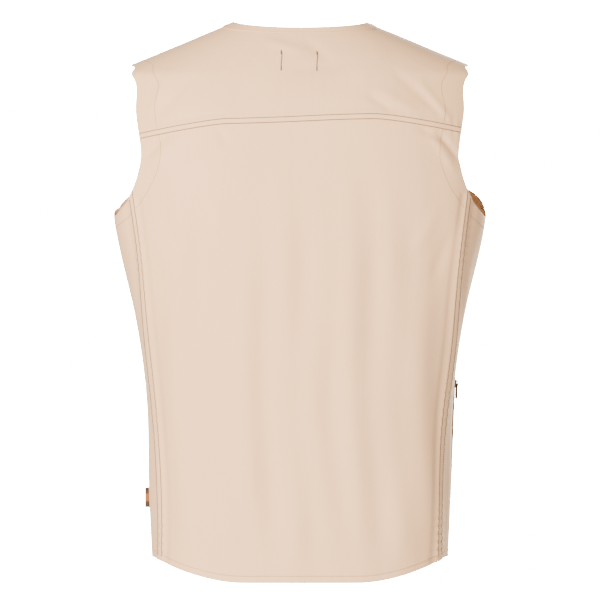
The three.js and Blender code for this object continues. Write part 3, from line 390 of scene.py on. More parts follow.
def hang(angle, z):
    """How far the cloth stands off the smooth body: slow upright waves that grow below the yoke and
    die at the sewn hem, with the pulled folds, a dip beside each side-back seam and small puckers beside the seams."""
    point = body(angle, z)
    x, behind = point[..., 0], np.clip(np.sin(angle) * 4, 0, 1)
    loose = np.clip((560 - z) / 160, 0, 1) ** 1.3 * np.clip((z - 6) / 60, 0.25, 1)
    waves = (
        0.75 * np.sin(x / 11.5 + 0.9 * np.sin(z / 105) + 0.6)
        + 0.6 * np.sin(x / 7.1 - z / 210 + 0.8 * np.sin(z / 64 + 1.1))
        + 0.5 * np.sin(x / 19.0 + z / 170 + 2.0)
    )
    soft = 0.35 * np.sin(x / 26 + 1.2) * np.sin(z / 33 + x / 90)
    back = loose * waves + soft
    for one in BACK_FOLDS:
        back = back + fold(x, z, *one)
    from_yoke = z - (yoke_seam(x) + 5)
    near_yoke = np.exp(-np.abs(from_yoke) / 9) * (np.abs(from_yoke) > 3)
    back = back + 0.32 * near_yoke * np.sin(x / 1.7 + 2.2 * np.sin(x / 31)) * np.sin(x / 23 + 0.7) ** 2
    from_side = np.abs(x) - (through(BACK_PANEL_HALF_WIDTHS, z) + 3)
    beside = np.exp(-np.abs(from_side) / 7) * (z < 495)
    back = back + 0.5 * beside * np.sin(
        z / 1.75 + 2.5 * np.sin(z / 47 + x / 200)
    ) * (0.5 + 0.5 * np.sin(z / 29))
    back = back - 0.8 * np.exp(-((np.abs(from_side) - 8) / 4) ** 2) * (z < 495)
    from_hem = z - hem_z(angle)
    hemmed = np.exp(-np.abs(from_hem - 8) / 7)
    ripple = 0.28 * hemmed * np.sin(x / 2.3 + 1.9 * np.sin(x / 37)) * (0.6 + 0.4 * np.sin(x / 17))
    front = 0.45 * loose * np.sin(x / 15 + 0.5 * np.sin(z / 90)) + 0.2 * soft
    return behind * FOLD_DEPTH * back + (1 - behind) * 0.6 * front + 1.3 * ripple


SIDE_ARC_STEPS = np.linspace(-1.7, 4.9, 1600)
_ring = body(SIDE_ARC_STEPS, np.full(1600, 300.0))
ARC = np.concatenate([[0], np.cumsum(np.linalg.norm(np.diff(_ring, axis=0), axis=1))])


def cloth(angle, z, lift):
    """Point on the hanging cloth: the body's point moved out along its normal by the hang and a lift."""
    return body(angle, z) + outward(angle, z) * (hang(angle, z) + lift)[..., None]


def put(name, points, face_groups, material, body_name="vest", uv=None, smooth=True):
    """Makes one object from points in millimetres and arrays of faces, each array with one corner count."""
    mesh = bpy.data.meshes.new(name)
    points = np.asarray(points, float).reshape(-1, 3) * MM
    face_groups = [np.asarray(g, np.int32) for g in face_groups if len(g)]
    mesh.vertices.add(len(points))
    mesh.vertices.foreach_set("co", points.ravel())
    corners = np.concatenate([g.ravel() for g in face_groups])
    sizes = np.concatenate([np.full(len(g), g.shape[1]) for g in face_groups])
    mesh.loops.add(len(corners))
    mesh.loops.foreach_set("vertex_index", corners)
    mesh.polygons.add(len(sizes))
    mesh.polygons.foreach_set("loop_start", np.concatenate([[0], np.cumsum(sizes)[:-1]]).astype(np.int32))
    mesh.update(calc_edges=True)
    mesh.validate()
    mesh.polygons.foreach_set("use_smooth", np.full(len(mesh.polygons), smooth))
    if uv is not None:
        layer = mesh.uv_layers.new(name="cut")
        flat = np.zeros(len(mesh.loops), np.int32)
        mesh.loops.foreach_get("vertex_index", flat)
        layer.data.foreach_set("uv", (np.asarray(uv, float).reshape(-1, 2)[flat] * MM).ravel())
    mesh.materials.append(material)
    piece = bpy.data.objects.new(name, mesh)
    bpy.context.scene.collection.objects.link(piece)
    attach(piece, body_name)
    return piece


def grid_faces(rows, columns, offset=0):
    """Four-cornered faces of a grid of points stored row by row."""
    a = (np.arange(rows - 1)[:, None] * columns + np.arange(columns - 1)[None, :] + offset).ravel()
    return np.stack([a, a + 1, a + columns + 1, a + columns], -1)


def sheet_mesh(name, outer, inner, uv, material, body_name="vest"):
    """A closed sheet: an outer and an inner grid of points, joined by a strip along their four edges."""
    rows, columns = outer.shape[:2]
    count = rows * columns
    top = grid_faces(rows, columns)
    under = grid_faces(rows, columns, count)[:, ::-1]
    across, up = np.arange(columns), np.arange(rows) * columns
    rim = np.concatenate([across, up[1:] + columns - 1, (up[-1] + across)[::-1][1:], up[::-1][1:]])
    strip = np.stack([rim[:-1], rim[:-1] + count, rim[1:] + count, rim[1:]], -1)
    points = np.concatenate([outer.reshape(-1, 3), inner.reshape(-1, 3)])
    a, b, c = points[top[len(top) // 2][:3]]
    d = points[top[len(top) // 2][0] + count]
    faces = [top, under, strip]
    if np.dot(np.cross(b - a, c - a), a - d) < 0:
        faces = [f[:, ::-1] for f in faces]
    uv = np.asarray(uv, float).reshape(-1, 2)
    return put(name, points, faces, material, body_name, np.concatenate([uv, uv]))


def panel(name, angle, z, lift_out, material, thickness=CLOTH):
    """A panel of cloth over a grid of angles and heights, with its outer face at a lift off the body."""
    outer = cloth(angle, z, lift_out + 0 * z)
    inner = cloth(angle, z, lift_out - thickness + 0 * z)
    uv = np.stack([np.interp(angle, SIDE_ARC_STEPS, ARC), z], -1)
    return sheet_mesh(name, outer, inner, uv, material)


def shader(name, roughness, **constants):
    """A material with one Principled shader, whose constant values sit on its own sockets."""
    material = bpy.data.materials.new(name)
    material.use_nodes = True
    principled = material.node_tree.nodes["Principled BSDF"]
    principled.inputs["Roughness"].default_value = roughness
    for socket, value in constants.items():
        principled.inputs[socket.replace("_", " ")].default_value = value
    return material, material.node_tree, principled


def node(tree, kind, feeds=(), **values):
    """Adds a node; values set its properties or its input sockets, and feeds wires outputs into it."""
    made = tree.nodes.new(kind)
    for key, value in values.items():
        if hasattr(made, key):
            setattr(made, key, value)
    for socket, source in feeds:
        if isinstance(source, bpy.types.NodeSocket):
            tree.links.new(source, made.inputs[socket])
        else:
            made.inputs[socket].default_value = source
    return made


def math_node(tree, operation, a, b=0.0, c=0.0):
    """One sum of up to three numbers or outputs."""
    return node(tree, "ShaderNodeMath", [(0, a), (1, b), (2, c)], operation=operation).outputs[0]


def new_group(name, inputs, outputs):
    """A shader node group with float or vector inputs and float outputs."""
    tree = bpy.data.node_groups.new(name, "ShaderNodeTree")
    for label, kind, value in inputs:
        socket = tree.interface.new_socket(label, in_out="INPUT", socket_type=kind)
        if value is not None:
            socket.default_value = value
    for label in outputs:
        tree.interface.new_socket(label, in_out="OUTPUT", socket_type="NodeSocketFloat")
    return tree, tree.nodes.new("NodeGroupInput"), tree.nodes.new("NodeGroupOutput")


# Plain weave: warp and weft as two sines, so that their crossings stand up in turn.
weave, weave_in, weave_out = new_group(
    "plain_weave",
    [("Place", "NodeSocketVector", None), ("Warp", "NodeSocketFloat", 2600.0), ("Weft", "NodeSocketFloat", 1700.0)],
    ["Height"],
)
split = node(weave, "ShaderNodeSeparateXYZ", [(0, weave_in.outputs["Place"])])
warp = math_node(weave, "SINE", math_node(weave, "MULTIPLY", split.outputs[0], weave_in.outputs["Warp"]))
weft = math_node(weave, "SINE", math_node(weave, "MULTIPLY", split.outputs[1], weave_in.outputs["Weft"]))
crossing = math_node(weave, "MULTIPLY", warp, weft)
weave.links.new(math_node(weave, "MULTIPLY_ADD", crossing, 0.5, 0.5), weave_out.inputs["Height"])

# Yarn shade: a slow mottle with finer streaks along the warp, as dyed yarn of uneven thickness has.
yarn, yarn_in, yarn_out = new_group(
    "yarn_shade",
    [("Place", "NodeSocketVector", None), ("Slow", "NodeSocketFloat", 9.0), ("Streak", "NodeSocketFloat", 260.0)],
    ["Shade", "Streaks"],
)
slow = node(
    yarn, "ShaderNodeTexNoise",
    [("Vector", yarn_in.outputs["Place"]), ("Scale", yarn_in.outputs["Slow"]), ("Detail", 3.0)]
)
drawn = node(
    yarn, "ShaderNodeVectorMath", [(0, yarn_in.outputs["Place"]), (1, (1.0, 0.045, 1.0))], operation="MULTIPLY"
)
fine = node(
    yarn, "ShaderNodeTexNoise",
    [("Vector", drawn.outputs[0]), ("Scale", yarn_in.outputs["Streak"]), ("Detail", 2.0)]
)
yarn.links.new(
    math_node(yarn, "MULTIPLY_ADD", fine.outputs[0], 0.45, math_node(yarn, "MULTIPLY", slow.outputs[0], 0.55)),
    yarn_out.inputs["Shade"]
)
yarn.links.new(fine.outputs[0], yarn_out.inputs["Streaks"])


def woven_material(
    name, dark, light, roughness, warp_count, weft_count, relief, slow_scale=9.0, streak=260.0, **constants
):
    """Woven cloth: the shade runs between two colours, and weave and streaks raise a fine relief."""
    material, tree, principled = shader(name, roughness, **constants)
    place = node(tree, "ShaderNodeUVMap", uv_map="cut").outputs[0]
    shade = node(tree, "ShaderNodeGroup", node_tree=yarn)
    tree.links.new(place, shade.inputs["Place"])
    shade.inputs["Slow"].default_value = slow_scale
    shade.inputs["Streak"].default_value = streak
    threads = node(tree, "ShaderNodeGroup", node_tree=weave)
    tree.links.new(place, threads.inputs["Place"])
    threads.inputs["Warp"].default_value = warp_count * 2 * math.pi
    threads.inputs["Weft"].default_value = weft_count * 2 * math.pi
    ramp = node(tree, "ShaderNodeValToRGB", [("Fac", shade.outputs["Shade"])])
    ramp.color_ramp.elements[0].position, ramp.color_ramp.elements[1].position = 0.3, 0.7
    ramp.color_ramp.elements[0].color, ramp.color_ramp.elements[1].color = (*dark, 1), (*light, 1)
    tree.links.new(ramp.outputs["Color"], principled.inputs["Base Color"])
    gloss = node(
        tree, "ShaderNodeMapRange",
        [("Value", shade.outputs["Streaks"]), ("To Min", roughness - 0.06), ("To Max", roughness + 0.06)]
    )
    tree.links.new(gloss.outputs[0], principled.inputs["Roughness"])
    height = math_node(tree, "MULTIPLY_ADD", shade.outputs["Streaks"], 0.8, threads.outputs["Height"])
    bump = node(tree, "ShaderNodeBump", [("Height", height), ("Strength", relief), ("Distance", 0.00006)])
    tree.links.new(bump.outputs[0], principled.inputs["Normal"])
    return material


SAND_DARK = (0.765, 0.475, 0.268)
SAND_LIGHT = (0.800, 0.515, 0.302)
poplin = woven_material(
    "poplin", SAND_DARK, SAND_LIGHT, 0.62, 420, 260, 0.45, Sheen_Weight=0.12, Sheen_Roughness=0.45
)

THREAD_HALF = 0.6
STITCH = 3.2


def stitches(
    name, place, material, pitch=STITCH, share=0.88, half=THREAD_HALF, lift=SHELL, body_name="vest",
    points=None, normals=None
):
    """A row of stitches. The path is walked at an even pitch, and each stitch is a six-sided capsule of
    five rings, thickest in the middle, whose two ends dip into the cloth."""
    if points is None:
        angle, z = place(np.linspace(0, 1, 500))
        lift = lift(angle, z) if callable(lift) else lift + 0 * z
        points = cloth(angle, z, lift)
        normals = outward(angle, z)
    walked = np.concatenate([[0], np.cumsum(np.linalg.norm(np.diff(points, axis=0), axis=1))])
    begin = np.arange(0.3 * pitch, walked[-1] - share * pitch, pitch)
    at = lambda s, values: np.stack([np.interp(s, walked, values[:, k]) for k in range(3)], -1)
    start, end, normal = at(begin, points), at(begin + share * pitch, points), at(
        begin + share * pitch / 2, normals
    )
    normal /= np.linalg.norm(normal, axis=1, keepdims=True)
    along = end - start
    along /= np.linalg.norm(along, axis=1, keepdims=True)
    aside = np.cross(along, normal)
    rings, sides = 5, 6
    s = np.array([0.0, 0.14, 0.5, 0.86, 1.0])
    rise = half * np.array([-0.9, 0.15, 0.45, 0.15, -0.9])
    thick = half * np.array([0.5, 0.92, 1.0, 0.92, 0.5])
    turn = np.arange(sides) * 2 * math.pi / sides
    centre = start[:, None] + (end - start)[:, None] * s[None, :, None] + normal[:, None] * rise[None, :, None]
    wheel = aside[:, None, None] * np.cos(turn)[None, None, :, None] + normal[:, None, None] * np.sin(turn)[None, None, :, None]
    ring_points = centre[:, :, None] + wheel * thick[None, :, None, None]
    first = (np.arange(len(begin)) * rings * sides)[:, None, None]
    ring = (np.arange(rings - 1) * sides)[None, :, None]
    k, n = np.arange(sides)[None, None, :], (np.arange(sides)[None, None, :] + 1) % sides
    quads = np.stack(
        [first + ring + k, first + ring + n, first + ring + sides + n, first + ring + sides + k], -1
    ).reshape(-1, 4)
    head = (first[:, :, 0] + np.arange(sides)[None, :][:, ::-1])
    tail = (first[:, :, 0] + (rings - 1) * sides + np.arange(sides)[None, :])
    return put(name, ring_points, [quads[:, ::-1], head[:, ::-1], tail[:, ::-1]], material, body_name)


def thread_material(name, colour, roughness=0.55):
    """Spun thread: fine twist as a slanting ripple, and a shade that wanders from stitch to stitch."""
    material, tree, principled = shader(name, roughness, Sheen_Weight=0.1)
    place = node(tree, "ShaderNodeTexCoord").outputs["Object"]
    wander = node(tree, "ShaderNodeTexNoise", [("Vector", place), ("Scale", 120.0), ("Detail", 2.0)])
    ramp = node(tree, "ShaderNodeValToRGB", [("Fac", wander.outputs[0])])
    ramp.color_ramp.elements[0].color = (*(0.8 * np.array(colour)), 1)
    ramp.color_ramp.elements[1].color = (*(1.25 * np.array(colour)), 1)
    tree.links.new(ramp.outputs["Color"], principled.inputs["Base Color"])
    twist = node(tree, "ShaderNodeTexWave", [("Vector", place), ("Scale", 900.0)], bands_direction="DIAGONAL")
    bump = node(
        tree, "ShaderNodeBump", [("Height", twist.outputs["Fac"]), ("Strength", 0.4), ("Distance", 0.00008)]
    )
    tree.links.new(bump.outputs[0], principled.inputs["Normal"])
    return material


brown_thread = thread_material("brown_thread", (0.028, 0.016, 0.011))
sand_thread = thread_material("sand_thread", (0.40, 0.24, 0.135))

SEAM_RISE = 0.55  # the turned edge of one panel lies on the next


def back_panel_edge(side):
    """From the hem up the lapped side-back seam, then up the armhole to just under the yoke."""
    turn_low, turn_high = seam_top(SIDE_LAP), yoke_end(side, YOKE_LAP - 1)
    return joined(
        (0.8, lambda t: side_back_seam(t, SIDE_LAP)),
        (1.0, lambda t: armhole(turn_low + (turn_high - turn_low) * t, 1)),
    )


def back_hem(u, left, right):
    angle = left + (right - left) * np.asarray(u, float)
    return angle, hem_z(angle)


def seam_run(u, lift, side_turns, margin=0.0):
    """Across the back from the left armhole to the right one, at a lift above the yoke's lower edge."""
    left = armhole(side_turns[0], 1, margin)[0]
    right = math.pi - armhole(side_turns[1], 1, margin)[0]
    angle = left + (right - left) * np.asarray(u, float)
    z = yoke_seam(body(angle, YOKE_SEAM_Z + 0 * angle)[..., 0]) + lift
    return angle, z


left_edge, right_edge = back_panel_edge(1), mirrored(back_panel_edge(-1))
lap_foot = side_back_seam(0.0, SIDE_LAP)[0]
back_turns = [yoke_end(1, YOKE_LAP - 1), yoke_end(-1, YOKE_LAP - 1)]
u = crowded(168, 0.75)
v = crowded(260, 0.7)
angle, z = filled(
    lambda w: back_hem(w, lap_foot, math.pi - lap_foot),
    lambda w: seam_run(w, YOKE_LAP - 1, back_turns),
    left_edge,
    right_edge,
    u,
    v,
)
x = body(angle, z)[..., 0]
over_side = np.abs(x) - through(BACK_PANEL_HALF_WIDTHS, z)
seam_lift = SEAM_RISE * np.clip((over_side + 2.2) / 2.2, 0, 1) * (z < 500)
back_panel = panel("centre_back", angle, z, SHELL + seam_lift, poplin)
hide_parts("back_panel")


def on_seam(x, z):
    """Lift of the cloth's face beside a side-back seam."""
    beyond = np.abs(x) - through(BACK_PANEL_HALF_WIDTHS, z)
    return SHELL + SEAM_RISE * np.clip((beyond + 2.2) / 2.2, 0, 1)


for side_name, flip in (("left", lambda e: e), ("right", mirrored)):
    for row, gap in (("inner", 0.6), ("outer", 5.4)):
        run = flip(lambda t, gap=gap: side_back_seam(0.012 + 0.984 * t, gap))
        stitches(
            f"side_back_{row}_stitches_{side_name}", run, brown_thread, lift=lambda a,
            h: on_seam(body(a, h)[..., 0], h)
        )

# ---------------------------------------------------------------- side backs
# A narrow poplin panel at each side, from the side seam to the centre back, whose edge goes under
# the centre back's turned edge. Its top is the underarm curve of the armhole.

side_top_turn = seam_top(0.3)
for side_name, flip in (("left", lambda e: e), ("right", mirrored)):
    edges = (
        lambda w: (side_back_seam(0.0, 0.3)[0] * np.asarray(w, float), hem_z(side_back_seam(0.0, 0.3)[0] * np.asarray(w, float))),
        lambda w: armhole(side_top_turn * np.asarray(w, float), 1),
        lambda t: (0 * np.asarray(t, float), SIDE_HEM_RISE + (ARMHOLE_BOTTOM_Z - SIDE_HEM_RISE) * np.asarray(t, float)),
        lambda t: side_back_seam(t, 0.3),
    )
    angle, z = filled(*edges, crowded(44, 0.5), crowded(200, 0.6))
    if side_name == "right":
        angle = math.pi - angle
    side_back = panel(f"side_back_{side_name}", angle, z, SHELL, poplin)
    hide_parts(f"back_side_{side_name}")

# ---------------------------------------------------------------- shoulder yoke
# The yoke crosses both shoulder blades up to the shoulder seams and the nape. Its turned lower edge
# is sewn over the centre back with two rows of brown thread.

SHOULDER_SHARE = 0.25


def yoke_top(u, margin=0.0, nape=NAPE_DROP):
    """From the shoulder tip up to the neck point, round the nape and down to the other tip."""
    u = np.asarray(u, float)
    w = np.minimum(u, 1 - u)
    tip, neck = armhole(0.5, 1, margin)[1], NECK_POINT_Z - margin * SHOULDER_SLOPE
    rising = tip + (neck - tip) * w / SHOULDER_SHARE
    round_nape = QUARTER * np.maximum(w - SHOULDER_SHARE, 0) / (0.5 - SHOULDER_SHARE)
    z = np.where(w <= SHOULDER_SHARE, rising, neck - nape * np.sin(round_nape) ** 2)
    return np.where(u <= 0.5, round_nape, math.pi - round_nape), z


seam_turns = [yoke_end(1), yoke_end(-1)]
u = np.unique(np.concatenate([crowded(200, 0.35), [SHOULDER_SHARE, 1 - SHOULDER_SHARE]]))
low_rows = np.linspace(0, 0.16, 22)
v = np.concatenate([low_rows, np.linspace(0.16, 1, 60)[1:]])
angle, z = filled(
    lambda w: seam_run(w, 0, seam_turns),
    yoke_top,
    lambda t: armhole(seam_turns[0] + (0.5 - seam_turns[0]) * np.asarray(t, float), 1),
    mirrored(lambda t: armhole(seam_turns[1] + (0.5 - seam_turns[1]) * np.asarray(t, float), 1)),
    u,
    v,
)
above_edge = z - yoke_seam(body(angle, z)[..., 0])
yoke_lift = SEAM_RISE * (1 - np.clip((above_edge - YOKE_LAP) / 4, 0, 1))
yoke = panel("shoulder_yoke", angle, z, SHELL + yoke_lift, poplin)
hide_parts("back_yoke")
for row, height in (("lower", 0.9), ("upper", 7.3)):
    turns = [yoke_end(1, height), yoke_end(-1, height)]
    run = lambda w, height=height, turns=turns: seam_run(0.003 + 0.994 * w, height, turns)
    stitches(f"yoke_{row}_stitches", run, brown_thread, lift=SHELL + SEAM_RISE)

# ---------------------------------------------------------------- fronts
# Two poplin fronts from shoulder to hem with the V neck between them; the main zip joins them below it.

FRONT_SHARE = 9 / 19
ZIP_OPENING_HALF = 6


def neck_edge(t, margin=0.0):
    """The front neckline from the V point up to the neck point: both coordinates follow a square."""
    w = (1 - np.asarray(t, float)) ** 2
    top = NECK_POINT_Z - margin * SHOULDER_SLOPE
    z = top + (V_POINT_Z - top) * w
    return angle_at(0, NECK_HALF_WIDTH + (ZIP_OPENING_HALF - NECK_HALF_WIDTH) * w + margin, z, -1), z


def front_inner(t, margin=0.0, low=FRONT_HEM_Z):
    t = np.asarray(t, float)
    z = low + (V_POINT_Z - low) * np.minimum(t / FRONT_SHARE, 1)
    straight = angle_at(0, ZIP_OPENING_HALF + margin, z, -1)
    angle, high = neck_edge(np.clip((t - FRONT_SHARE) / (1 - FRONT_SHARE), 0, 1), margin)
    return np.where(t > FRONT_SHARE, angle, straight), np.where(t > FRONT_SHARE, high, z)


def front_outer(t, margin=0.0, low=SIDE_HEM_RISE, show=5.0):
    t = np.asarray(t, float)
    z = low + (ARMHOLE_BOTTOM_Z - margin - low) * np.minimum(t / FRONT_SHARE, 1)
    angle, high = armhole(0.5 * np.clip((t - FRONT_SHARE) / (1 - FRONT_SHARE), 0, 1), -1, margin, show)
    return np.where(t > FRONT_SHARE, angle, 0 * z), np.where(t > FRONT_SHARE, high, z)


def front_hem(u):
    inner = angle_at(0, ZIP_OPENING_HALF, FRONT_HEM_Z, -1)
    angle = inner * (1 - np.asarray(u, float))
    return angle, np.where(angle > -1e-6, SIDE_HEM_RISE, hem_z(np.minimum(angle, -1e-6)))


front_rows = np.unique(np.concatenate([np.linspace(0, FRONT_SHARE, 120), np.linspace(FRONT_SHARE, 1, 110)]))
for side_name in ("left", "right"):
    angle, z = filled(
        front_hem,
        lambda w: (0 * np.asarray(w, float), NECK_POINT_Z + (SHOULDER_TIP_Z - NECK_POINT_Z) * np.asarray(w, float)),
        front_inner,
        lambda t: front_outer(t, show=FRONT_SHOW[side_name]),
        crowded(90, 0.5),
        front_rows,
    )
    if side_name == "right":
        angle = math.pi - angle
    front_panel = panel(f"front_panel_{side_name}", angle, z, SHELL, poplin)
    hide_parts(f"front_{side_name}")

# ---------------------------------------------------------------- turned armholes
# A strip of the same poplin is sewn round each armhole, turned inside and topstitched in sand thread.

FACING_WIDTH = 14.5


def carried(name, place, section, columns, material, lift=0.0):
    """A closed section of (margin, lift) pairs carried along an edge. Place turns a parameter and a
    margin into an angle and a height, and the hang of the cloth moves the whole section."""
    section = np.asarray(section, float)
    along = np.linspace(0, 1, columns + 1)[:, None]
    margin, raised = section[None, :, 0], section[None, :, 1]
    angle, z = place(along, margin)
    base_angle, base_z = place(along, np.maximum(margin, 0))
    points = body(angle, z) + outward(angle, z) * (hang(base_angle, base_z) + raised + lift)[..., None]
    count = section.shape[0]
    a = (np.arange(columns)[:, None] * count + np.arange(count)[None, :])
    b = (np.arange(columns)[:, None] * count + (np.arange(count)[None, :] + 1) % count)
    quads = np.stack([a, b, b + count, a + count], -1).reshape(-1, 4)
    caps = [np.arange(count)[None, ::-1], (columns * count + np.arange(count))[None, :]]
    walked = np.concatenate([[0], np.cumsum(np.linalg.norm(np.diff(points[:, 0], axis=0), axis=1))])
    round_it = np.concatenate([[0], np.cumsum(np.linalg.norm(np.diff(section, axis=0), axis=1))])
    uv = np.stack(np.broadcast_arrays(round_it[None, :], walked[:, None]), -1)
    middle = points.mean(1)
    k = columns // 2
    out = np.cross(points[k, 1] - points[k, 0], points[k + 1, 0] - points[k, 0])
    if np.dot(out, points[k, 0] - middle[k]) < 0:
        quads, caps = quads[:, ::-1], [c[:, ::-1] for c in caps]
    return put(name, points, [quads] + caps, material, "vest", uv)


def turned_over(width, top, under, thickness=CLOTH, steps=9):
    """Section of cloth turned over an edge: down from the face, round a half circle beyond the edge,
    and back inside for the width; the same line a thickness further in closes it."""
    middle, radius = (top + under) / 2, (top - under) / 2
    turn = np.linspace(QUARTER, -QUARTER, steps)
    outer = np.stack([-0.55 * radius * np.cos(turn), middle + radius * np.sin(turn)], -1)
    inner = np.stack(
        [-0.55 * (radius - thickness) * np.cos(turn), middle + (radius - thickness) * np.sin(turn)], -1
    )
    back = np.linspace(0.15, 1, 6)[:, None] * [width, 0]
    return np.concatenate([outer, back + [0, under], (back + [0, under + thickness])[::-1], inner[::-1]])


def whole_armhole(u, margin, show):
    """Up the back of the armhole for the first half of u, and down the front again."""
    u, margin = np.broadcast_arrays(np.asarray(u, float), np.asarray(margin, float))
    back, back_z = armhole(np.minimum(u, 0.5), 1, margin)
    front, front_z = armhole(1 - np.maximum(u, 0.5), -1, margin, show)
    return np.where(u < 0.5, back, front), np.where(u < 0.5, back_z, front_z)


for side_name in ("left", "right"):
    def place(u, margin):
        angle, z = whole_armhole(0.001 + 0.998 * u, margin, FRONT_SHOW[side_name])
        return (angle if side_name == "left" else math.pi - angle), z

    facing = carried(
        f"armhole_turning_{side_name}", place, turned_over(FACING_WIDTH, SHELL - 0.05, -1.7), 300, poplin
    )
    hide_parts(f"armhole_facing_{side_name}")

    def sewn(w):
        return place(w, 13.0)

    stitches(f"armhole_stitches_{side_name}", sewn, sand_thread, half=0.4, lift=SHELL + 0.02)

# ---------------------------------------------------------------- turned hem
# The lower edge is turned up once inside and sewn, in one piece behind and one at each front.

HEM_WIDTH = 9.5


def hem_line(first, last):
    def place(u, margin):
        angle = first + (last - first) * np.asarray(u, float)
        return np.broadcast_arrays(angle + 0 * margin, hem_z(angle) + margin)

    return place


inner_hem = float(angle_at(0, ZIP_OPENING_HALF + 9.5, FRONT_HEM_Z, -1))
hems = (
    ("hem_turning_back", 0.004, math.pi - 0.004, "hem_facing_back", 340, 0.42),
    ("hem_turning_front_left", inner_hem, -0.004, "hem_facing_front_left", 160, 0.23),
    ("hem_turning_front_right", math.pi + 0.004, math.pi - inner_hem, "hem_facing_front_right", 160, 0.23),
)
for name, first, last, node_name, columns, length in hems:
    place = hem_line(first, last)
    turning = carried(name, place, turned_over(HEM_WIDTH, SHELL - 0.05, -1.7), columns, poplin)
    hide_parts(node_name)
    stitches(f"{name}_stitches", lambda w, place=place: place(w, 8.0), sand_thread, half=0.4, lift=SHELL + 0.02)

# ---------------------------------------------------------------- neck binding
# A strip of poplin is folded over the neck edge from the V round the nape, and sewn close to its edge.

BINDING_WIDTH = 7.0
FRONT_TURN = 0.34


def neck_line(u, margin):
    """From the left of the V over the shoulder, round the nape and down to the right of the V."""
    u, margin = np.broadcast_arrays(np.asarray(u, float), np.asarray(margin, float))
    w = np.minimum(u, 1 - u)
    front, front_z = neck_edge(0.06 + 0.94 * np.minimum(w / FRONT_TURN, 1), margin)
    nape = QUARTER * np.maximum(w - FRONT_TURN, 0) / (0.5 - FRONT_TURN)
    low = margin * (SHOULDER_SLOPE + (1 - SHOULDER_SLOPE) * np.minimum(1, np.sin(nape) * 2))
    nape_z = NECK_POINT_Z - NAPE_DROP * np.sin(nape) ** 2 - low
    angle, z = np.where(w < FRONT_TURN, front, nape), np.where(w < FRONT_TURN, front_z, nape_z)
    return np.where(u <= 0.5, angle, math.pi - angle), z


turn = np.linspace(QUARTER, -QUARTER, 9)
outside, inside = SHELL + 0.75, -0.6
middle, radius = (outside + inside) / 2, (outside - inside) / 2
fold_out = np.stack([-0.8 * radius * np.cos(turn), middle + radius * np.sin(turn)], -1)
fold_in = np.stack([-0.8 * (radius - 0.5) * np.cos(turn), middle + (radius - 0.5) * np.sin(turn)], -1)
reach = np.linspace(1, 0.12, 5)[:, None] * [BINDING_WIDTH, 0]
binding_section = np.concatenate(
    [reach + [0, outside], fold_out, reach[::-1] + [0, inside], reach + [0, inside + 0.5], fold_in[::-1], reach[::-1] + [0, outside - 0.5]]
)
binding = carried("neck_binding", neck_line, binding_section, 420, poplin)
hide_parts("neck_band")
stitches(
    "neck_binding_stitches", lambda w: neck_line(w, BINDING_WIDTH - 1.2), sand_thread, half=0.26,
    lift=outside + 0.02
)

# ---------------------------------------------------------------- lining
# A tan warp-knitted mesh is hung inside the back and the fronts, a little gathered, and the yoke is
# lined with poplin. It is seen through the armholes, the neck and from below.

LINING_OUT = -5.5
LINING = 0.6
LINING_MARGIN = 17.5
LINING_HEM = 14

# Knitted mesh: staggered small holes, as a threshold on two crossed sines.
mesh_lining, tree, principled = shader("mesh_lining", 0.85, Sheen_Weight=0.2)
place = node(tree, "ShaderNodeUVMap", uv_map="cut").outputs[0]
holes = node(tree, "ShaderNodeGroup", node_tree=weave)
tree.links.new(place, holes.inputs["Place"])
holes.inputs["Warp"].default_value = 330 * 2 * math.pi
holes.inputs["Weft"].default_value = 210 * 2 * math.pi
lining_shade = node(tree, "ShaderNodeGroup", node_tree=yarn)
tree.links.new(place, lining_shade.inputs["Place"])
lining_shade.inputs["Streak"].default_value = 120.0
ramp = node(tree, "ShaderNodeValToRGB", [("Fac", lining_shade.outputs["Shade"])])
ramp.color_ramp.elements[0].position, ramp.color_ramp.elements[1].position = 0.35, 0.65
ramp.color_ramp.elements[0].color, ramp.color_ramp.elements[1].color = (0.30, 0.21, 0.145, 1), (0.50, 0.38, 0.28, 1)
tree.links.new(ramp.outputs["Color"], principled.inputs["Base Color"])
open_mesh = math_node(tree, "LESS_THAN", holes.outputs["Height"], 0.86)
tree.links.new(open_mesh, principled.inputs["Alpha"])
bump = node(
    tree, "ShaderNodeBump", [("Height", holes.outputs["Height"]), ("Strength", 0.6), ("Distance", 0.0002)]
)
bump.invert = True
tree.links.new(bump.outputs[0], principled.inputs["Normal"])


def gathers(angle, z):
    """Upright pleats of the lining: two sines round the body."""
    s = np.interp(angle, SIDE_ARC_STEPS, ARC)
    return 0.7 * np.sin(s / 2.6 + 0.8 * np.sin(z / 60)) + 0.4 * np.sin(s / 4.3 + z / 140)


def lining_sheet(name, angle, z, material, pleats=1.0):
    lift = LINING_OUT + pleats * gathers(angle, z) - hang(angle, z)
    uv = np.stack([np.interp(angle, SIDE_ARC_STEPS, ARC), z], -1)
    return sheet_mesh(name, cloth(angle, z, lift), cloth(angle, z, lift - LINING), uv, material)


lining_turns = [yoke_end(1, -1, LINING_MARGIN), yoke_end(-1, -1, LINING_MARGIN)]


def lining_edge(side):
    """From above the hem up inside the side seam, then up inside the armhole."""
    turns = lining_turns[0 if side > 0 else 1]
    low, high = SIDE_HEM_RISE + LINING_HEM, ARMHOLE_BOTTOM_Z - LINING_MARGIN
    return joined(
        (0.8, lambda t: (0.01 + 0 * t, low + (high - low) * t)),
        (1.0, lambda t: (np.maximum(armhole(turns * t, 1, LINING_MARGIN)[0], 0.01), armhole(turns * t, 1, LINING_MARGIN)[1])),
    )


def raised_hem(w):
    angle = 0.01 + (math.pi - 0.02) * np.asarray(w, float)
    return angle, hem_z(angle) + LINING_HEM


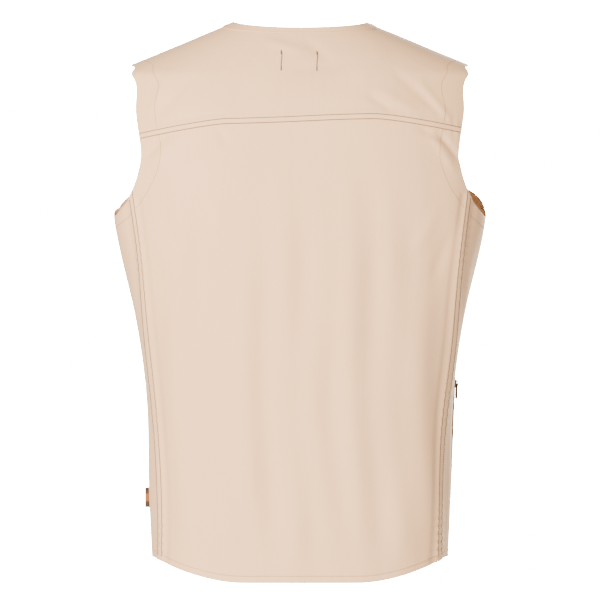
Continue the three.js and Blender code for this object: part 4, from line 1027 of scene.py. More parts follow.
angle, z = filled(
    raised_hem,
    lambda w: seam_run(w, -1, lining_turns, LINING_MARGIN),
    lining_edge(1),
    mirrored(lining_edge(-1)),
    np.linspace(0, 1, 241),
    np.linspace(0, 1, 101),
)
back_lining = lining_sheet("back_lining", angle, z, mesh_lining)
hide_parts("lining_back")

turns_high = [yoke_end(1, 1, LINING_MARGIN), yoke_end(-1, 1, LINING_MARGIN)]
u = np.unique(np.concatenate([np.linspace(0, 1, 121), [SHOULDER_SHARE, 1 - SHOULDER_SHARE]]))
angle, z = filled(
    lambda w: seam_run(w, 1, turns_high, LINING_MARGIN),
    lambda w: yoke_top(w, LINING_MARGIN),
    lambda t: armhole(turns_high[0] + (0.5 - turns_high[0]) * np.asarray(t, float), 1, LINING_MARGIN),
    mirrored(lambda t: armhole(turns_high[1] + (0.5 - turns_high[1]) * np.asarray(t, float), 1, LINING_MARGIN)),
    u,
    np.linspace(0, 1, 41),
)
yoke_lining = lining_sheet("yoke_lining", angle, z, poplin, 0.0)
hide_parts("lining_yoke")

FRONT_LINING_INSET = 12
for side_name in ("left", "right"):
    def inner_edge(t):
        return front_inner(t, FRONT_LINING_INSET, FRONT_HEM_Z + LINING_HEM)

    def outer_edge(t):
        angle, z = front_outer(t, LINING_MARGIN, SIDE_HEM_RISE + LINING_HEM, FRONT_SHOW[side_name])
        return np.minimum(angle, -0.01), z

    def low_edge(w):
        w = np.asarray(w, float)
        inner = angle_at(0, ZIP_OPENING_HALF + FRONT_LINING_INSET, FRONT_HEM_Z, -1)
        return inner + (-0.01 - inner) * w, FRONT_HEM_Z + (SIDE_HEM_RISE - FRONT_HEM_Z) * w + LINING_HEM

    def high_edge(w):
        w = np.asarray(w, float)
        first, last = inner_edge(np.float64(1.0))[1], outer_edge(np.float64(1.0))[1]
        return -0.01 + 0 * w, first + (last - first) * w

    angle, z = filled(
        low_edge, high_edge, inner_edge, outer_edge, np.linspace(0, 1, 101), np.linspace(0, 1, 141)
    )
    if side_name == "right":
        angle = math.pi - angle
    front_lining = lining_sheet(f"front_lining_{side_name}", angle, z, mesh_lining)
    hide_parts(f"lining_front_{side_name}")

# ---------------------------------------------------------------- neck label
# A folded woven label is sewn to the yoke lining at both its ends. The stitches go through to the
# outside of the yoke, where they show as two short upright bars of dark brown thread.

LABEL_WIDTH, LABEL_HEIGHT, LABEL_Z = 46, 27, 667


def on_back(x, z):
    """Angle of the back at a signed x."""
    x, z = np.broadcast_arrays(np.asarray(x, float), np.asarray(z, float))
    angle = angle_at(0, np.abs(x), z, 1)
    return np.where(x < 0, math.pi - angle, angle)


label_cloth = woven_material(
    "label_cloth", (0.095, 0.045, 0.018), (0.16, 0.075, 0.03), 0.7, 900, 900, 0.6, Sheen_Weight=0.1
)
z = np.repeat(np.linspace(LABEL_Z - LABEL_HEIGHT / 2, LABEL_Z + LABEL_HEIGHT / 2, 31)[:, None], 61, 1)
x = np.repeat(np.linspace(LABEL_WIDTH / 2, -LABEL_WIDTH / 2, 61)[None, :], 31, 0)
angle = on_back(x, z)
label_lift = -8.6 - hang(angle, z) - 0.5 * np.cos(math.pi * x / LABEL_WIDTH)
label_uv = np.stack([x, z], -1)
label = sheet_mesh(
    "neck_label_cloth", cloth(angle, z, label_lift), cloth(angle, z, label_lift - 0.6), label_uv, label_cloth,
)
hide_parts("neck_label")
for side_name, bar_x in (("left", 23.5), ("right", -22.0)):
    low, high = LABEL_Z - LABEL_HEIGHT / 2 - 3, LABEL_Z + LABEL_HEIGHT / 2 - 3
    bar = lambda w, bar_x=bar_x: (
        on_back(bar_x + 0.5 * np.sin(6 * w), low + (high - low) * w), low + (high - low) * w
    )
    stitches(f"label_bar_{side_name}", bar, brown_thread, pitch=2.7, share=0.92, half=0.72)
    for end_name, start in (("low", low), ("high", high - 6)):
        tack = lambda w, bar_x=bar_x, start=start: (on_back(bar_x + 0.55, start + 6 * w), start + 6 * w)
        stitches(f"label_tack_{end_name}_{side_name}", tack, brown_thread, pitch=2.0, share=0.92, half=0.75)

# ---------------------------------------------------------------- hanger loop
# A folded tape, sewn at both ends inside the nape, which bows in towards the neck.


def swept(name, centre, across, out, section, material, body_name="vest", closed=False):
    """A closed section of (across, out) pairs carried along a line of centres, with flat end caps
    unless the line is closed."""
    centre, across, out, section = (np.asarray(a, float) for a in (centre, across, out, section))
    across, out = np.broadcast_to(across, centre.shape), np.broadcast_to(out, centre.shape)
    points = centre[:, None] + across[:, None] * section[None, :, :1] + out[:, None] * section[None, :, 1:]
    rows, count = points.shape[:2]
    last = rows if closed else rows - 1
    i, k = np.arange(last)[:, None], np.arange(count)[None, :]
    n, j = (k + 1) % count, (i + 1) % rows
    quads = np.stack(
        np.broadcast_arrays(i * count + k, i * count + n, j * count + n, j * count + k), -1
    ).reshape(-1, 4)
    caps = [] if closed else [np.arange(count)[None, ::-1], ((rows - 1) * count + np.arange(count))[None, :]]
    edge, onward = points[0, 1] - points[0, 0], centre[1] - centre[0]
    if np.dot(np.cross(edge, onward), points[0, 0] + edge / 2 - points[0].mean(0)) < 0:
        quads, caps = quads[:, ::-1], [c[:, ::-1] for c in caps]
    walked = np.concatenate([[0], np.cumsum(np.linalg.norm(np.diff(centre, axis=0), axis=1))])
    round_it = np.concatenate([[0], np.cumsum(np.linalg.norm(np.diff(section, axis=0), axis=1))])
    uv = np.stack(np.broadcast_arrays(round_it[None, :], walked[:, None]), -1)
    return put(name, points, [quads] + caps, material, body_name, uv)


def soft_slab(width, thick, steps=5):
    """Section of a flat strap: two straight faces joined by half circles."""
    turn = np.linspace(-QUARTER, QUARTER, steps)
    right = np.stack([width / 2 - thick / 2 + thick / 2 * np.cos(turn), thick / 2 * np.sin(turn)], -1)
    return np.concatenate([right, -right])


tape_cloth = woven_material(
    "tape_cloth", (0.21, 0.15, 0.108), (0.30, 0.22, 0.16), 0.75, 700, 420, 0.9, streak=500.0, Sheen_Weight=0.15
)
HANGER_HALF, HANGER_BOW, HANGER_HEIGHT, HANGER_Z = 32, 13, 6, 690
foot_y = (body(QUARTER, HANGER_Z + HANGER_HEIGHT) + outward(QUARTER, HANGER_Z + HANGER_HEIGHT) * -8.5)[1] - 1.6
s = np.linspace(0, 1, 61)
hanger_line = np.stack(
    [HANGER_HALF * (1 - 2 * s), foot_y - HANGER_BOW * np.sin(math.pi * s) ** 0.8 - 0.6, HANGER_Z + HANGER_HEIGHT / 2 + 0 * s],
    -1
)
step = np.gradient(hanger_line, axis=0)
step /= np.linalg.norm(step, axis=1, keepdims=True)
hanger = swept(
    "hanger_tape", hanger_line, (0, 0, 1), np.cross(step, (0, 0, 1)), soft_slab(HANGER_HEIGHT, 1.1), tape_cloth
)
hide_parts("hanger_loop")

# ---------------------------------------------------------------- side tag
# A small folded woven tag caught in the left side seam: dark brown with a tan band and no lettering.

TAG_Z, TAG_HEIGHT, TAG_REACH = 107, 26, 6
tag_cloth, tree, principled = shader("tag_cloth", 0.75, Sheen_Weight=0.1)
place = node(tree, "ShaderNodeTexCoord").outputs["Object"]
parts = node(tree, "ShaderNodeSeparateXYZ", [(0, place)])
from_middle = math_node(tree, "ABSOLUTE", math_node(tree, "SUBTRACT", parts.outputs[2], TAG_Z * MM))
edge_noise = node(tree, "ShaderNodeTexNoise", [("Vector", place), ("Scale", 1500.0)])
ragged = math_node(tree, "MULTIPLY_ADD", edge_noise.outputs[0], 0.0012, from_middle)
band = node(tree, "ShaderNodeMapRange", [("Value", ragged), ("From Min", 0.0048), ("From Max", 0.0062)])
ramp = node(tree, "ShaderNodeValToRGB", [("Fac", band.outputs[0])])
ramp.color_ramp.elements[0].color, ramp.color_ramp.elements[1].color = (0.24, 0.090, 0.022, 1), (0.038, 0.017, 0.008, 1)
tree.links.new(ramp.outputs["Color"], principled.inputs["Base Color"])
threads = node(tree, "ShaderNodeTexWave", [("Vector", place), ("Scale", 700.0)], bands_direction="Z")
bump = node(
    tree, "ShaderNodeBump", [("Height", threads.outputs["Fac"]), ("Strength", 0.7), ("Distance", 0.0001)]
)
tree.links.new(bump.outputs[0], principled.inputs["Normal"])
root_x, root_y, _ = body(0, TAG_Z) + outward(0, TAG_Z) * (SHELL + 0.2)
bend = np.linspace(QUARTER, -QUARTER, 15)
tag_half = 0.75
loop_x = np.concatenate(
    [[root_x - 1.5, root_x + 2], root_x + TAG_REACH - 0.9 - tag_half + tag_half * np.cos(bend), [root_x + 2, root_x - 1.5]]
)
loop_y = root_y + np.concatenate([[0.45, 0.6], tag_half * np.sin(bend), [-0.6, -0.45]])
tag_line = np.stack([loop_x, loop_y, TAG_Z + 0 * loop_x], -1)
step = np.gradient(tag_line, axis=0)
step /= np.linalg.norm(step, axis=1, keepdims=True)
tag = swept(
    "side_tag_ribbon", tag_line, (0, 0, 1), np.cross((0, 0, 1), step), soft_slab(TAG_HEIGHT, 0.4), tag_cloth,
)
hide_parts("side_tag")

# ---------------------------------------------------------------- main zip
# A separating coil zip: two woven tapes behind the front edges, nylon coils that mesh between them,
# a cast slider with its pull, and a box and pin at the foot.

ZIP_GAP, COIL_WIDTH, COIL_DEPTH, TAPE_FACE, TAPE_THICK = 0.8, 2.6, 2.2, 0.4, 0.7
ZIP_TAPE_REACH, ZIP_LOW_Z, ZIP_HIGH_Z = 15, 24, 494
LINK_PITCH, LINK_OFFSET = 1.8, 0.9  # the two halves mesh half a pitch apart
zip_foot, zip_head = body(-QUARTER, ZIP_LOW_Z), body(-QUARTER, ZIP_HIGH_Z)
ZIP_LENGTH = float(np.linalg.norm(zip_head - zip_foot))
zip_up = (zip_head - zip_foot) / ZIP_LENGTH


class Frame:
    """A place on the vest: a point and three directions, to put local points in the vest's own frame."""

    def __init__(self, at, x, y, z):
        self.at, self.axes = np.asarray(at, float), np.array([x, y, z], float)

    def __call__(self, x, y, z):
        x, y, z = np.broadcast_arrays(*(np.asarray(c, float) for c in (x, y, z)))
        return self.at + np.stack([x, y, z], -1) @ self.axes

    def way(self, x, y, z):
        return np.array([x, y, z], float) @ self.axes


zip_frame = Frame(zip_foot, (1, 0, 0), (0, zip_up[2], -zip_up[1]), zip_up)
nylon, tree, principled = shader("coil_nylon", 0.38, Coat_Weight=0.1)
place = node(tree, "ShaderNodeTexCoord").outputs["Object"]
grime = node(tree, "ShaderNodeTexNoise", [("Vector", place), ("Scale", 180.0), ("Detail", 4.0)])
ramp = node(tree, "ShaderNodeValToRGB", [("Fac", grime.outputs[0])])
ramp.color_ramp.elements[0].color, ramp.color_ramp.elements[1].color = (0.12, 0.085, 0.062, 1), (0.20, 0.145, 0.105, 1)
tree.links.new(ramp.outputs["Color"], principled.inputs["Base Color"])
bump = node(tree, "ShaderNodeBump", [("Height", grime.outputs[0]), ("Strength", 0.3), ("Distance", 0.0001)])
tree.links.new(bump.outputs[0], principled.inputs["Normal"])

# Dark bronze enamel on cast zinc: brown-black, a little rubbed to bare metal where noise is high.
bronze, tree, principled = shader("bronze_enamel", 0.34, Metallic=0.85)
place = node(tree, "ShaderNodeTexCoord").outputs["Object"]
rub = node(tree, "ShaderNodeTexNoise", [("Vector", place), ("Scale", 420.0), ("Detail", 5.0)])
ramp = node(tree, "ShaderNodeValToRGB", [("Fac", rub.outputs[0])])
ramp.color_ramp.elements[0].position, ramp.color_ramp.elements[1].position = 0.42, 0.72
ramp.color_ramp.elements[0].color, ramp.color_ramp.elements[1].color = (0.075, 0.055, 0.042, 1), (0.22, 0.165, 0.115, 1)
tree.links.new(ramp.outputs["Color"], principled.inputs["Base Color"])
gloss = node(tree, "ShaderNodeMapRange", [("Value", rub.outputs[0]), ("To Min", 0.28), ("To Max", 0.5)])
tree.links.new(gloss.outputs[0], principled.inputs["Roughness"])
bump = node(tree, "ShaderNodeBump", [("Height", rub.outputs[0]), ("Strength", 0.25), ("Distance", 0.00008)])
tree.links.new(bump.outputs[0], principled.inputs["Normal"])


def cast_copy(node_name, piece_name, body_name, rounding=0.22):
    """A cast piece: a copy of its solid with its doubles merged and its edges rounded by a bevel."""
    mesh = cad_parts[node_name].data.copy()
    mesh.name = piece_name
    mesh.materials.clear()
    mesh.materials.append(bronze)
    piece = bpy.data.objects.new(piece_name, mesh)
    bpy.context.scene.collection.objects.link(piece)
    weld = piece.modifiers.new("weld", "WELD")
    weld.merge_threshold = 1e-6
    bevel = piece.modifiers.new("round", "BEVEL")
    bevel.width, bevel.segments, bevel.limit_method, bevel.angle_limit = rounding * MM, 3, "ANGLE", math.radians(35)
    bevel.use_clamp_overlap = True
    mesh.polygons.foreach_set("use_smooth", np.full(len(mesh.polygons), False))
    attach(piece, body_name)
    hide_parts(node_name)
    return piece


def teeth(name, frame_, z, x_from, x_to, y, thick, body_name="vest"):
    """Coil links: each is a short six-sided capsule across the zip, at even heights."""
    count, rings, sides = len(z), 4, 6
    s = np.array([0.0, 0.18, 0.82, 1.0])
    wide = thick / 2 * np.array([0.55, 1.0, 1.0, 0.55])
    turn = np.arange(sides) * 2 * math.pi / sides
    x = np.broadcast_to((x_from + (x_to - x_from) * s)[None, :, None], (count, rings, sides))
    yy = y + 1.25 * wide[None, :, None] * np.cos(turn)[None, None, :] + 0 * x
    zz = z[:, None, None] + wide[None, :, None] * np.sin(turn)[None, None, :] + 0 * x
    points = frame_(x, yy, zz)
    first = (np.arange(count) * rings * sides)[:, None, None]
    ring, k = (np.arange(rings - 1) * sides)[None, :, None], np.arange(sides)[None, None, :]
    n = (k + 1) % sides
    quads = np.stack(
        np.broadcast_arrays(first + ring + k, first + ring + n, first + ring + sides + n, first + ring + sides + k),
        -1
    ).reshape(-1, 4)
    head = first[:, :, 0] + np.arange(sides)[None, ::-1]
    tail = first[:, :, 0] + (rings - 1) * sides + np.arange(sides)[None, :]
    faces = [quads, head, tail]
    if np.linalg.det(frame_.axes) * (x_to - x_from) < 0:
        faces = [f[:, ::-1] for f in faces]
    return put(name, points, faces, nylon, body_name)


for side_name, side in (("left", 1), ("right", -1)):
    rows = np.linspace(0, ZIP_LENGTH, 160)[:, None]
    across = np.linspace(ZIP_GAP + 0.6, ZIP_TAPE_REACH, 16)[None, :]
    fall = body(angle_at(0, ZIP_TAPE_REACH, 200.0, -1), 200.0)[1] - body(-QUARTER, 200.0)[1] + 0.2
    behind = TAPE_FACE + fall * (
        (across - across[0, 0]) / (across[0, -1] - across[0, 0])
    ) + 0.12 * np.sin(rows / 5) * np.sin(across / 3)
    rib = 0.12 * np.exp(-((across - 12) ** 2))
    outer, inner = zip_frame(side * across, behind - rib, rows), zip_frame(
        side * across, behind + TAPE_THICK - 0.1, rows
    )
    tape_uv = np.stack(np.broadcast_arrays(across, rows), -1)
    tape = sheet_mesh(f"zip_tape_cloth_{side_name}", outer, inner, tape_uv, tape_cloth)
    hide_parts(f"zip_tape_{side_name}")
    links = np.arange(12.6 + (LINK_OFFSET if side < 0 else 0), ZIP_LENGTH - 4, LINK_PITCH)
    coil = teeth(
        f"zip_coil_links_{side_name}", zip_frame, links, side * (ZIP_GAP + COIL_WIDTH), side * -0.3,
        -COIL_DEPTH / 2, 1.35
    )
    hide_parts(f"zip_coil_{side_name}")
cast_copy("zip_slider", "cast_slider", "main_slider")
cast_copy("zip_pull", "cast_pull", "main_pull", 0.4)
cast_copy("zip_box", "cast_box", "vest", 0.4)
cast_copy("zip_pin", "cast_pin", "vest", 0.4)

# Two rows of brown stitches hold each front edge to its tape.
for side_name, flip in (("left", lambda e: e), ("right", mirrored)):
    for row, inset in (("edge", 1.4), ("tape", 7.6)):
        run = lambda w, inset=inset: (
            angle_at(0, ZIP_OPENING_HALF + inset, 16 + (V_POINT_Z - 24) * np.asarray(w, float), -1),
            16 + (V_POINT_Z - 24) * np.asarray(w, float)
        )
        stitches(f"zip_{row}_stitches_{side_name}", flip(run), brown_thread)

# ---------------------------------------------------------------- storm flap
# A straight strip of folded poplin lies behind the zip and keeps the wind out.

STORM_HALF, STORM_Y, STORM_THICK = 17, 3.3, 0.9
rows = np.linspace(4, ZIP_LENGTH - 4, 150)[:, None]
across = np.linspace(-STORM_HALF, STORM_HALF, 31)[None, :]
swell = STORM_Y + 0.1 * np.sin(rows / 13) * np.cos(across / 9)
storm_uv = np.stack(np.broadcast_arrays(across, rows), -1)
storm = sheet_mesh(
    "storm_strip", zip_frame(across, swell, rows), zip_frame(across, swell + STORM_THICK, rows), storm_uv,
    poplin
)
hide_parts("storm_flap")

# ---------------------------------------------------------------- flap pockets
# Two bellows pockets at the waist and two on the chest, of the same poplin. Each has a deep gusset,
# a double flap with turned edges and two rows of stitching, and a snap in the middle.

PATCH_GAP, FLAP_WALL, FLAP_OVERHANG = 0.8, 1.6, 3
SNAP_GAP, STUD_BASE, SOCKET_RISE, SOCKET_DEPTH, CAP_THICK = 0.3, 0.6, 0.5, 1.6, 1.2
POCKETS = {
    "pocket": dict(x0=38, x1=158, low=66, high=262, depth=20, drop=64, fall=18),
    "chest_pocket": dict(x0=46, x1=154, low=330, high=446, depth=11, drop=50, fall=12),
}


def front_face(x, z, lift):
    """Point of the smooth left front at an x and a height, moved out by a lift."""
    angle = angle_at(0, x, z, -1)
    return body(angle, z) + outward(angle, z) * lift


def front_frame(x0, x1, low, high):
    """A frame in front of the left chest: X runs along the cloth between two places, -Y points out,
    and the plane y = 0 just clears the bulge of the cloth between them."""
    z = (low + high) / 2
    start, end = front_face(x0, z, SHELL + PATCH_GAP), front_face(x1, z, SHELL + PATCH_GAP)
    yaw = math.atan2(end[1] - start[1], end[0] - start[0])
    out, middle = np.array([math.sin(yaw), -math.cos(yaw), 0]), (start + end) / 2
    spread = x0 + (x1 - x0) * np.arange(9) / 8
    bulge = max(
        float(((front_face(spread, h, SHELL + PATCH_GAP) - middle) @ out).max()) for h in (low, z, high)
    )
    at = middle + out * max(bulge, 0)
    place = Frame(
        (at[0], at[1], 0), (math.cos(yaw), math.sin(yaw), 0), (-math.sin(yaw), math.cos(yaw), 0), (0, 0, 1)
    )
    return place, math.hypot(end[0] - start[0], end[1] - start[1])


def other_side(points, side):
    """The same points, or their mirror image on the wearer's right."""
    return points * np.array([side, 1, 1])


def turned(name, place, profile, centre_z, material, body_name, side, sides=32):
    """A profile of (radius, y) turned round the frame's Y axis, with its poles closed."""
    profile = np.asarray(profile, float)
    turn = np.arange(sides) * 2 * math.pi / sides
    ring = profile[1:-1]
    x = ring[:, :1] * np.cos(turn)
    z = centre_z + ring[:, :1] * np.sin(turn)
    points = place(x, ring[:, 1:] + 0 * x, z).reshape(-1, 3)
    poles = place(np.zeros(2), profile[[0, -1], 1], np.full(2, float(centre_z)))
    points = other_side(np.concatenate([points, poles]), side)
    i, k = np.arange(len(ring) - 1)[:, None] * sides, np.arange(sides)[None, :]
    n = (k + 1) % sides
    quads = np.stack(np.broadcast_arrays(i + k, i + n, i + sides + n, i + sides + k), -1).reshape(-1, 4)
    top, base, last = len(ring) * sides, len(ring) * sides + 1, (len(ring) - 1) * sides
    first = np.stack([np.full(sides, top), n[0], k[0]], -1)
    end = np.stack([np.full(sides, base), last + k[0], last + n[0]], -1)
    faces = [quads, first, end]
    a, b, c = points[quads[0, 0]], points[quads[0, 1]], points[quads[0, 3]]
    if np.dot(np.cross(b - a, c - a), a - points.mean(0)) < 0:
        faces = [f[:, ::-1] for f in faces]
    return put(name, points, faces, material, body_name)


for kind, p in POCKETS.items():
    place, width = front_frame(p["x0"], p["x1"], p["low"], p["high"] + p["fall"])
    half, depth, low, high, fall = width / 2, p["depth"], p["low"], p["high"], p["fall"]

    def pocket_skin(inset):
        """The pocket as one sheet: across it, an eighth of the columns climbs each gusset in a quarter
        ellipse with a pleat, and the rest crosses the face; up it, the bottom gusset, the face and the
        slope to the top follow the same way. How far out a point lies is the product of the two."""
        a, b = np.linspace(0, 1, 97)[None, :], np.linspace(0, 1, 141)[:, None]
        climb = np.clip(np.minimum(a, 1 - a) / 0.14, 0, 1)
        from_edge = 3.5 * (
            1 - np.cos(QUARTER * climb)
        ) + 2.4 * np.sin(math.pi * climb) ** 2 * (climb < 1) + inset
        centre_part = np.clip((a - 0.14) / 0.72, 0, 1)
        x = np.where(a < 0.5, -half + from_edge, half - from_edge)
        x = np.where(climb >= 1, (-half + 3.5 + inset) + (2 * half - 7 - 2 * inset) * centre_part, x)
        out_x = np.sin(QUARTER * climb) ** 0.9
        rise = np.clip(b / 0.12, 0, 1)
        top = np.clip((b - 0.86) / 0.14, 0, 1)
        face = np.clip((b - 0.12) / 0.74, 0, 1)
        z = low + inset + 3.5 * (1 - np.cos(QUARTER * rise)) + (
            high - fall - low - 3.5 - inset
        ) * face + fall * top
        out_z = np.sin(QUARTER * rise) ** 0.9 * (1 - top * top * (3 - 2 * top))
        x, z = x + 0 * b, z + 0 * a
        world_x = place.at[0] + x * place.axes[0, 0]
        base = front_face(world_x, z, SHELL + 0.15)
        base_y = (base - place.at) @ place.axes[1]
        full = np.clip((high - p["drop"] - 16 - z) / 30, 0, 1) * np.clip((z - low) / 26, 0, 1)
        sway = (
            1.6 * full * np.cos(math.pi * x / (2 * half)) ** 2 - 0.5 * full * np.sin(x / 13 + z / 40) - 0.3 * np.sin(z / 9 + x / 21) * out_x
        )
        face_y = -depth + inset - sway * (climb >= 1)
        y = base_y + (face_y - base_y) * out_x * out_z
        return x, y, z

    outer_skin, inner_skin = pocket_skin(0.0), pocket_skin(0.6)
    hinge = np.array([-1.6, high + 10.0])
    socket_face = -depth - SNAP_GAP - STUD_BASE - SOCKET_RISE
    flap_inner = socket_face - SOCKET_DEPTH - SNAP_GAP
    flap_y = flap_inner - FLAP_WALL / 2
    knee_z, end_z = hinge[1] - fall - 3, hinge[1] - p["drop"]
    corners = np.array([hinge, [flap_y, knee_z], [flap_y, end_z]])
    lengths = np.concatenate([[0], np.cumsum(np.linalg.norm(np.diff(corners, axis=0), axis=1))])
    run = np.linspace(0, lengths[-1], 400)
    line = np.stack([np.interp(run, lengths, corners[:, k]) for k in (0, 1)], -1)
    window = 41
    padded_line = np.pad(line, ((window // 2, window // 2), (0, 0)), "reflect", reflect_type="odd")
    line = np.stack([np.convolve(padded_line[:, k], np.ones(window) / window, "valid") for k in (0, 1)], -1)
    slope = np.gradient(line, axis=0)
    slope /= np.linalg.norm(slope, axis=1, keepdims=True)
    flap_half, flap_length, corner = half + FLAP_OVERHANG, lengths[-1], 12.0
    snap_z = end_z + 14

    def flap_point(x, s, lift):
        """Point of the flap at a distance from its middle and down from its hinge, off its mid layer."""
        y, z = np.interp(s, run, line[:, 0]), np.interp(s, run, line[:, 1])
        ny, nz = np.interp(s, run, slope[:, 1]), -np.interp(s, run, slope[:, 0])
        curl = 1.4 * np.clip(
            (s / flap_length - 0.55) / 0.45, 0, 1
        ) ** 2 * np.clip(np.abs(x) / flap_half - 0.45, 0, 1) ** 2 * 3
        wave = 0.25 * np.sin(x / 6.5 + 0.7) * np.clip(np.abs(x) / 14 - 0.6, 0, 1) * np.clip(s / 12, 0, 1)
        return place(x, y + ny * (lift) - curl - wave, z + nz * lift)

    across, down = np.linspace(-1, 1, 121)[None, :], crowded(70, 0.5)[:, None]
    x = flap_half * across
    near_corner = np.maximum(np.abs(x) - (flap_half - corner), 0)
    length_here = flap_length - (corner - np.sqrt(np.maximum(corner**2 - near_corner**2, 0)))
    s = down * length_here
    to_edge = np.minimum(flap_half - np.abs(x) + 0 * s, length_here - s)
    thick = 0.12 + (FLAP_WALL / 2 - 0.14) * np.sqrt(1 - (1 - np.clip(to_edge / 1.4, 0, 1)) ** 2)
    groove = 0.16 * (np.exp(-((to_edge - 2.2) / 0.9) ** 2) + np.exp(-((to_edge - 7.6) / 0.9) ** 2)) * (s > 4)
    pucker = 0.10 * np.sin(s / 1.2 + x / 1.3) * np.exp(-np.abs(to_edge - 5) / 3)
    x = x + 0 * s

    for side_name, side in (("left", 1), ("right", -1)):
        body_name = f"{kind}_flap_{side_name}"
        shift = lambda pts: other_side(pts, side)
        uv = np.stack([outer_skin[0], outer_skin[2]], -1)
        bag = sheet_mesh(
            f"{kind}_bag_{side_name}", shift(place(*outer_skin)), shift(place(*inner_skin)), uv, poplin
        )
        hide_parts(f"{kind}_{side_name}")
        flap_outer, flap_under = flap_point(x, s, -thick + groove - pucker), flap_point(x, s, thick)
        flap = sheet_mesh(
            f"{kind}_flap_cloth_{side_name}", shift(flap_outer), shift(flap_under), np.stack([x, s], -1),
            poplin, body_name
        )
        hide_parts(f"{kind}_flap_{side_name}")
        for row, inset in (("edge", 2.2), ("inner", 7.6)):
            r = corner - inset
            turn = np.linspace(0, QUARTER, 24)
            right_x = np.concatenate([np.full(80, flap_half - inset), flap_half - corner + r * np.cos(turn)])
            right_s = np.concatenate(
                [np.linspace(3, flap_length - corner, 80), flap_length - corner + r * np.sin(turn)]
            )
            path_x = np.concatenate(
                [right_x, np.linspace(flap_half - corner, corner - flap_half, 120)[1:-1], -right_x[::-1]]
            )
            path_s = np.concatenate([right_s, np.full(118, flap_length - inset), right_s[::-1]])
            row_points = shift(flap_point(path_x, path_s, -FLAP_WALL / 2 + 0.06))
            row_normals = shift(flap_point(path_x, path_s, -FLAP_WALL / 2 - 1)) - row_points
            stitches(
                f"{kind}_flap_{row}_stitches_{side_name}", None, brown_thread, body_name=body_name,
                points=row_points, normals=row_normals
            )
        seam_i = np.concatenate([np.full(100, 17), np.arange(17, 80), np.full(100, 79)])
        seam_j = np.concatenate(
            [np.linspace(118, 21, 100), np.full(63, 20), np.linspace(21, 118, 100)]
        ).astype(int)
        skin = shift(place(*outer_skin))
        row_points = skin[seam_j, seam_i]
        row_normals = shift(np.repeat(place.way(0, -1, 0)[None, :], len(row_points), 0))
        stitches(
            f"{kind}_bag_stitches_{side_name}", None, brown_thread, points=row_points + 0.05 * row_normals,
            normals=row_normals
        )
        cap_in = flap_inner - FLAP_WALL - SNAP_GAP
        bend = np.linspace(0, QUARTER, 8)
        dome = [
            (6.0 * math.sin(t), cap_in - 0.35 - (CAP_THICK - 0.35) * math.cos(t) + 0.25 * math.exp(-((6 * math.sin(t) - 3.6) / 0.5) ** 2)) for t in bend
        ]
        profile = dome + [
            (6.0, cap_in), (1.7, cap_in), (1.7, flap_inner + SNAP_GAP), (5.2, flap_inner + SNAP_GAP),
            (5.2, socket_face), (3.2, socket_face), (3.2, socket_face - 1.1), (0, socket_face - 1.1)
        ]
        cap = turned(f"{kind}_snap_cap_{side_name}", place, profile, snap_z, bronze, body_name, side)
        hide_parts(f"{kind}_cap_{side_name}")
        stud_face = -depth - SNAP_GAP
        knob = stud_face - STUD_BASE - 1.2
        profile = [
            (0, knob), (1.9, knob), (2.2, knob + 0.3), (2.0, knob + 0.7), (2.2, stud_face - STUD_BASE),
            (4.7, stud_face - STUD_BASE), (5, stud_face - STUD_BASE + 0.25), (5, stud_face), (0, stud_face)
        ]
        stud = turned(f"{kind}_snap_stud_{side_name}", place, profile, snap_z, bronze, "vest", side)
        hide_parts(f"{kind}_stud_{side_name}")

# ---------------------------------------------------------------- hand pocket zips
# A short coil zip stands upright beside each side seam. Its slider rides over the coil.

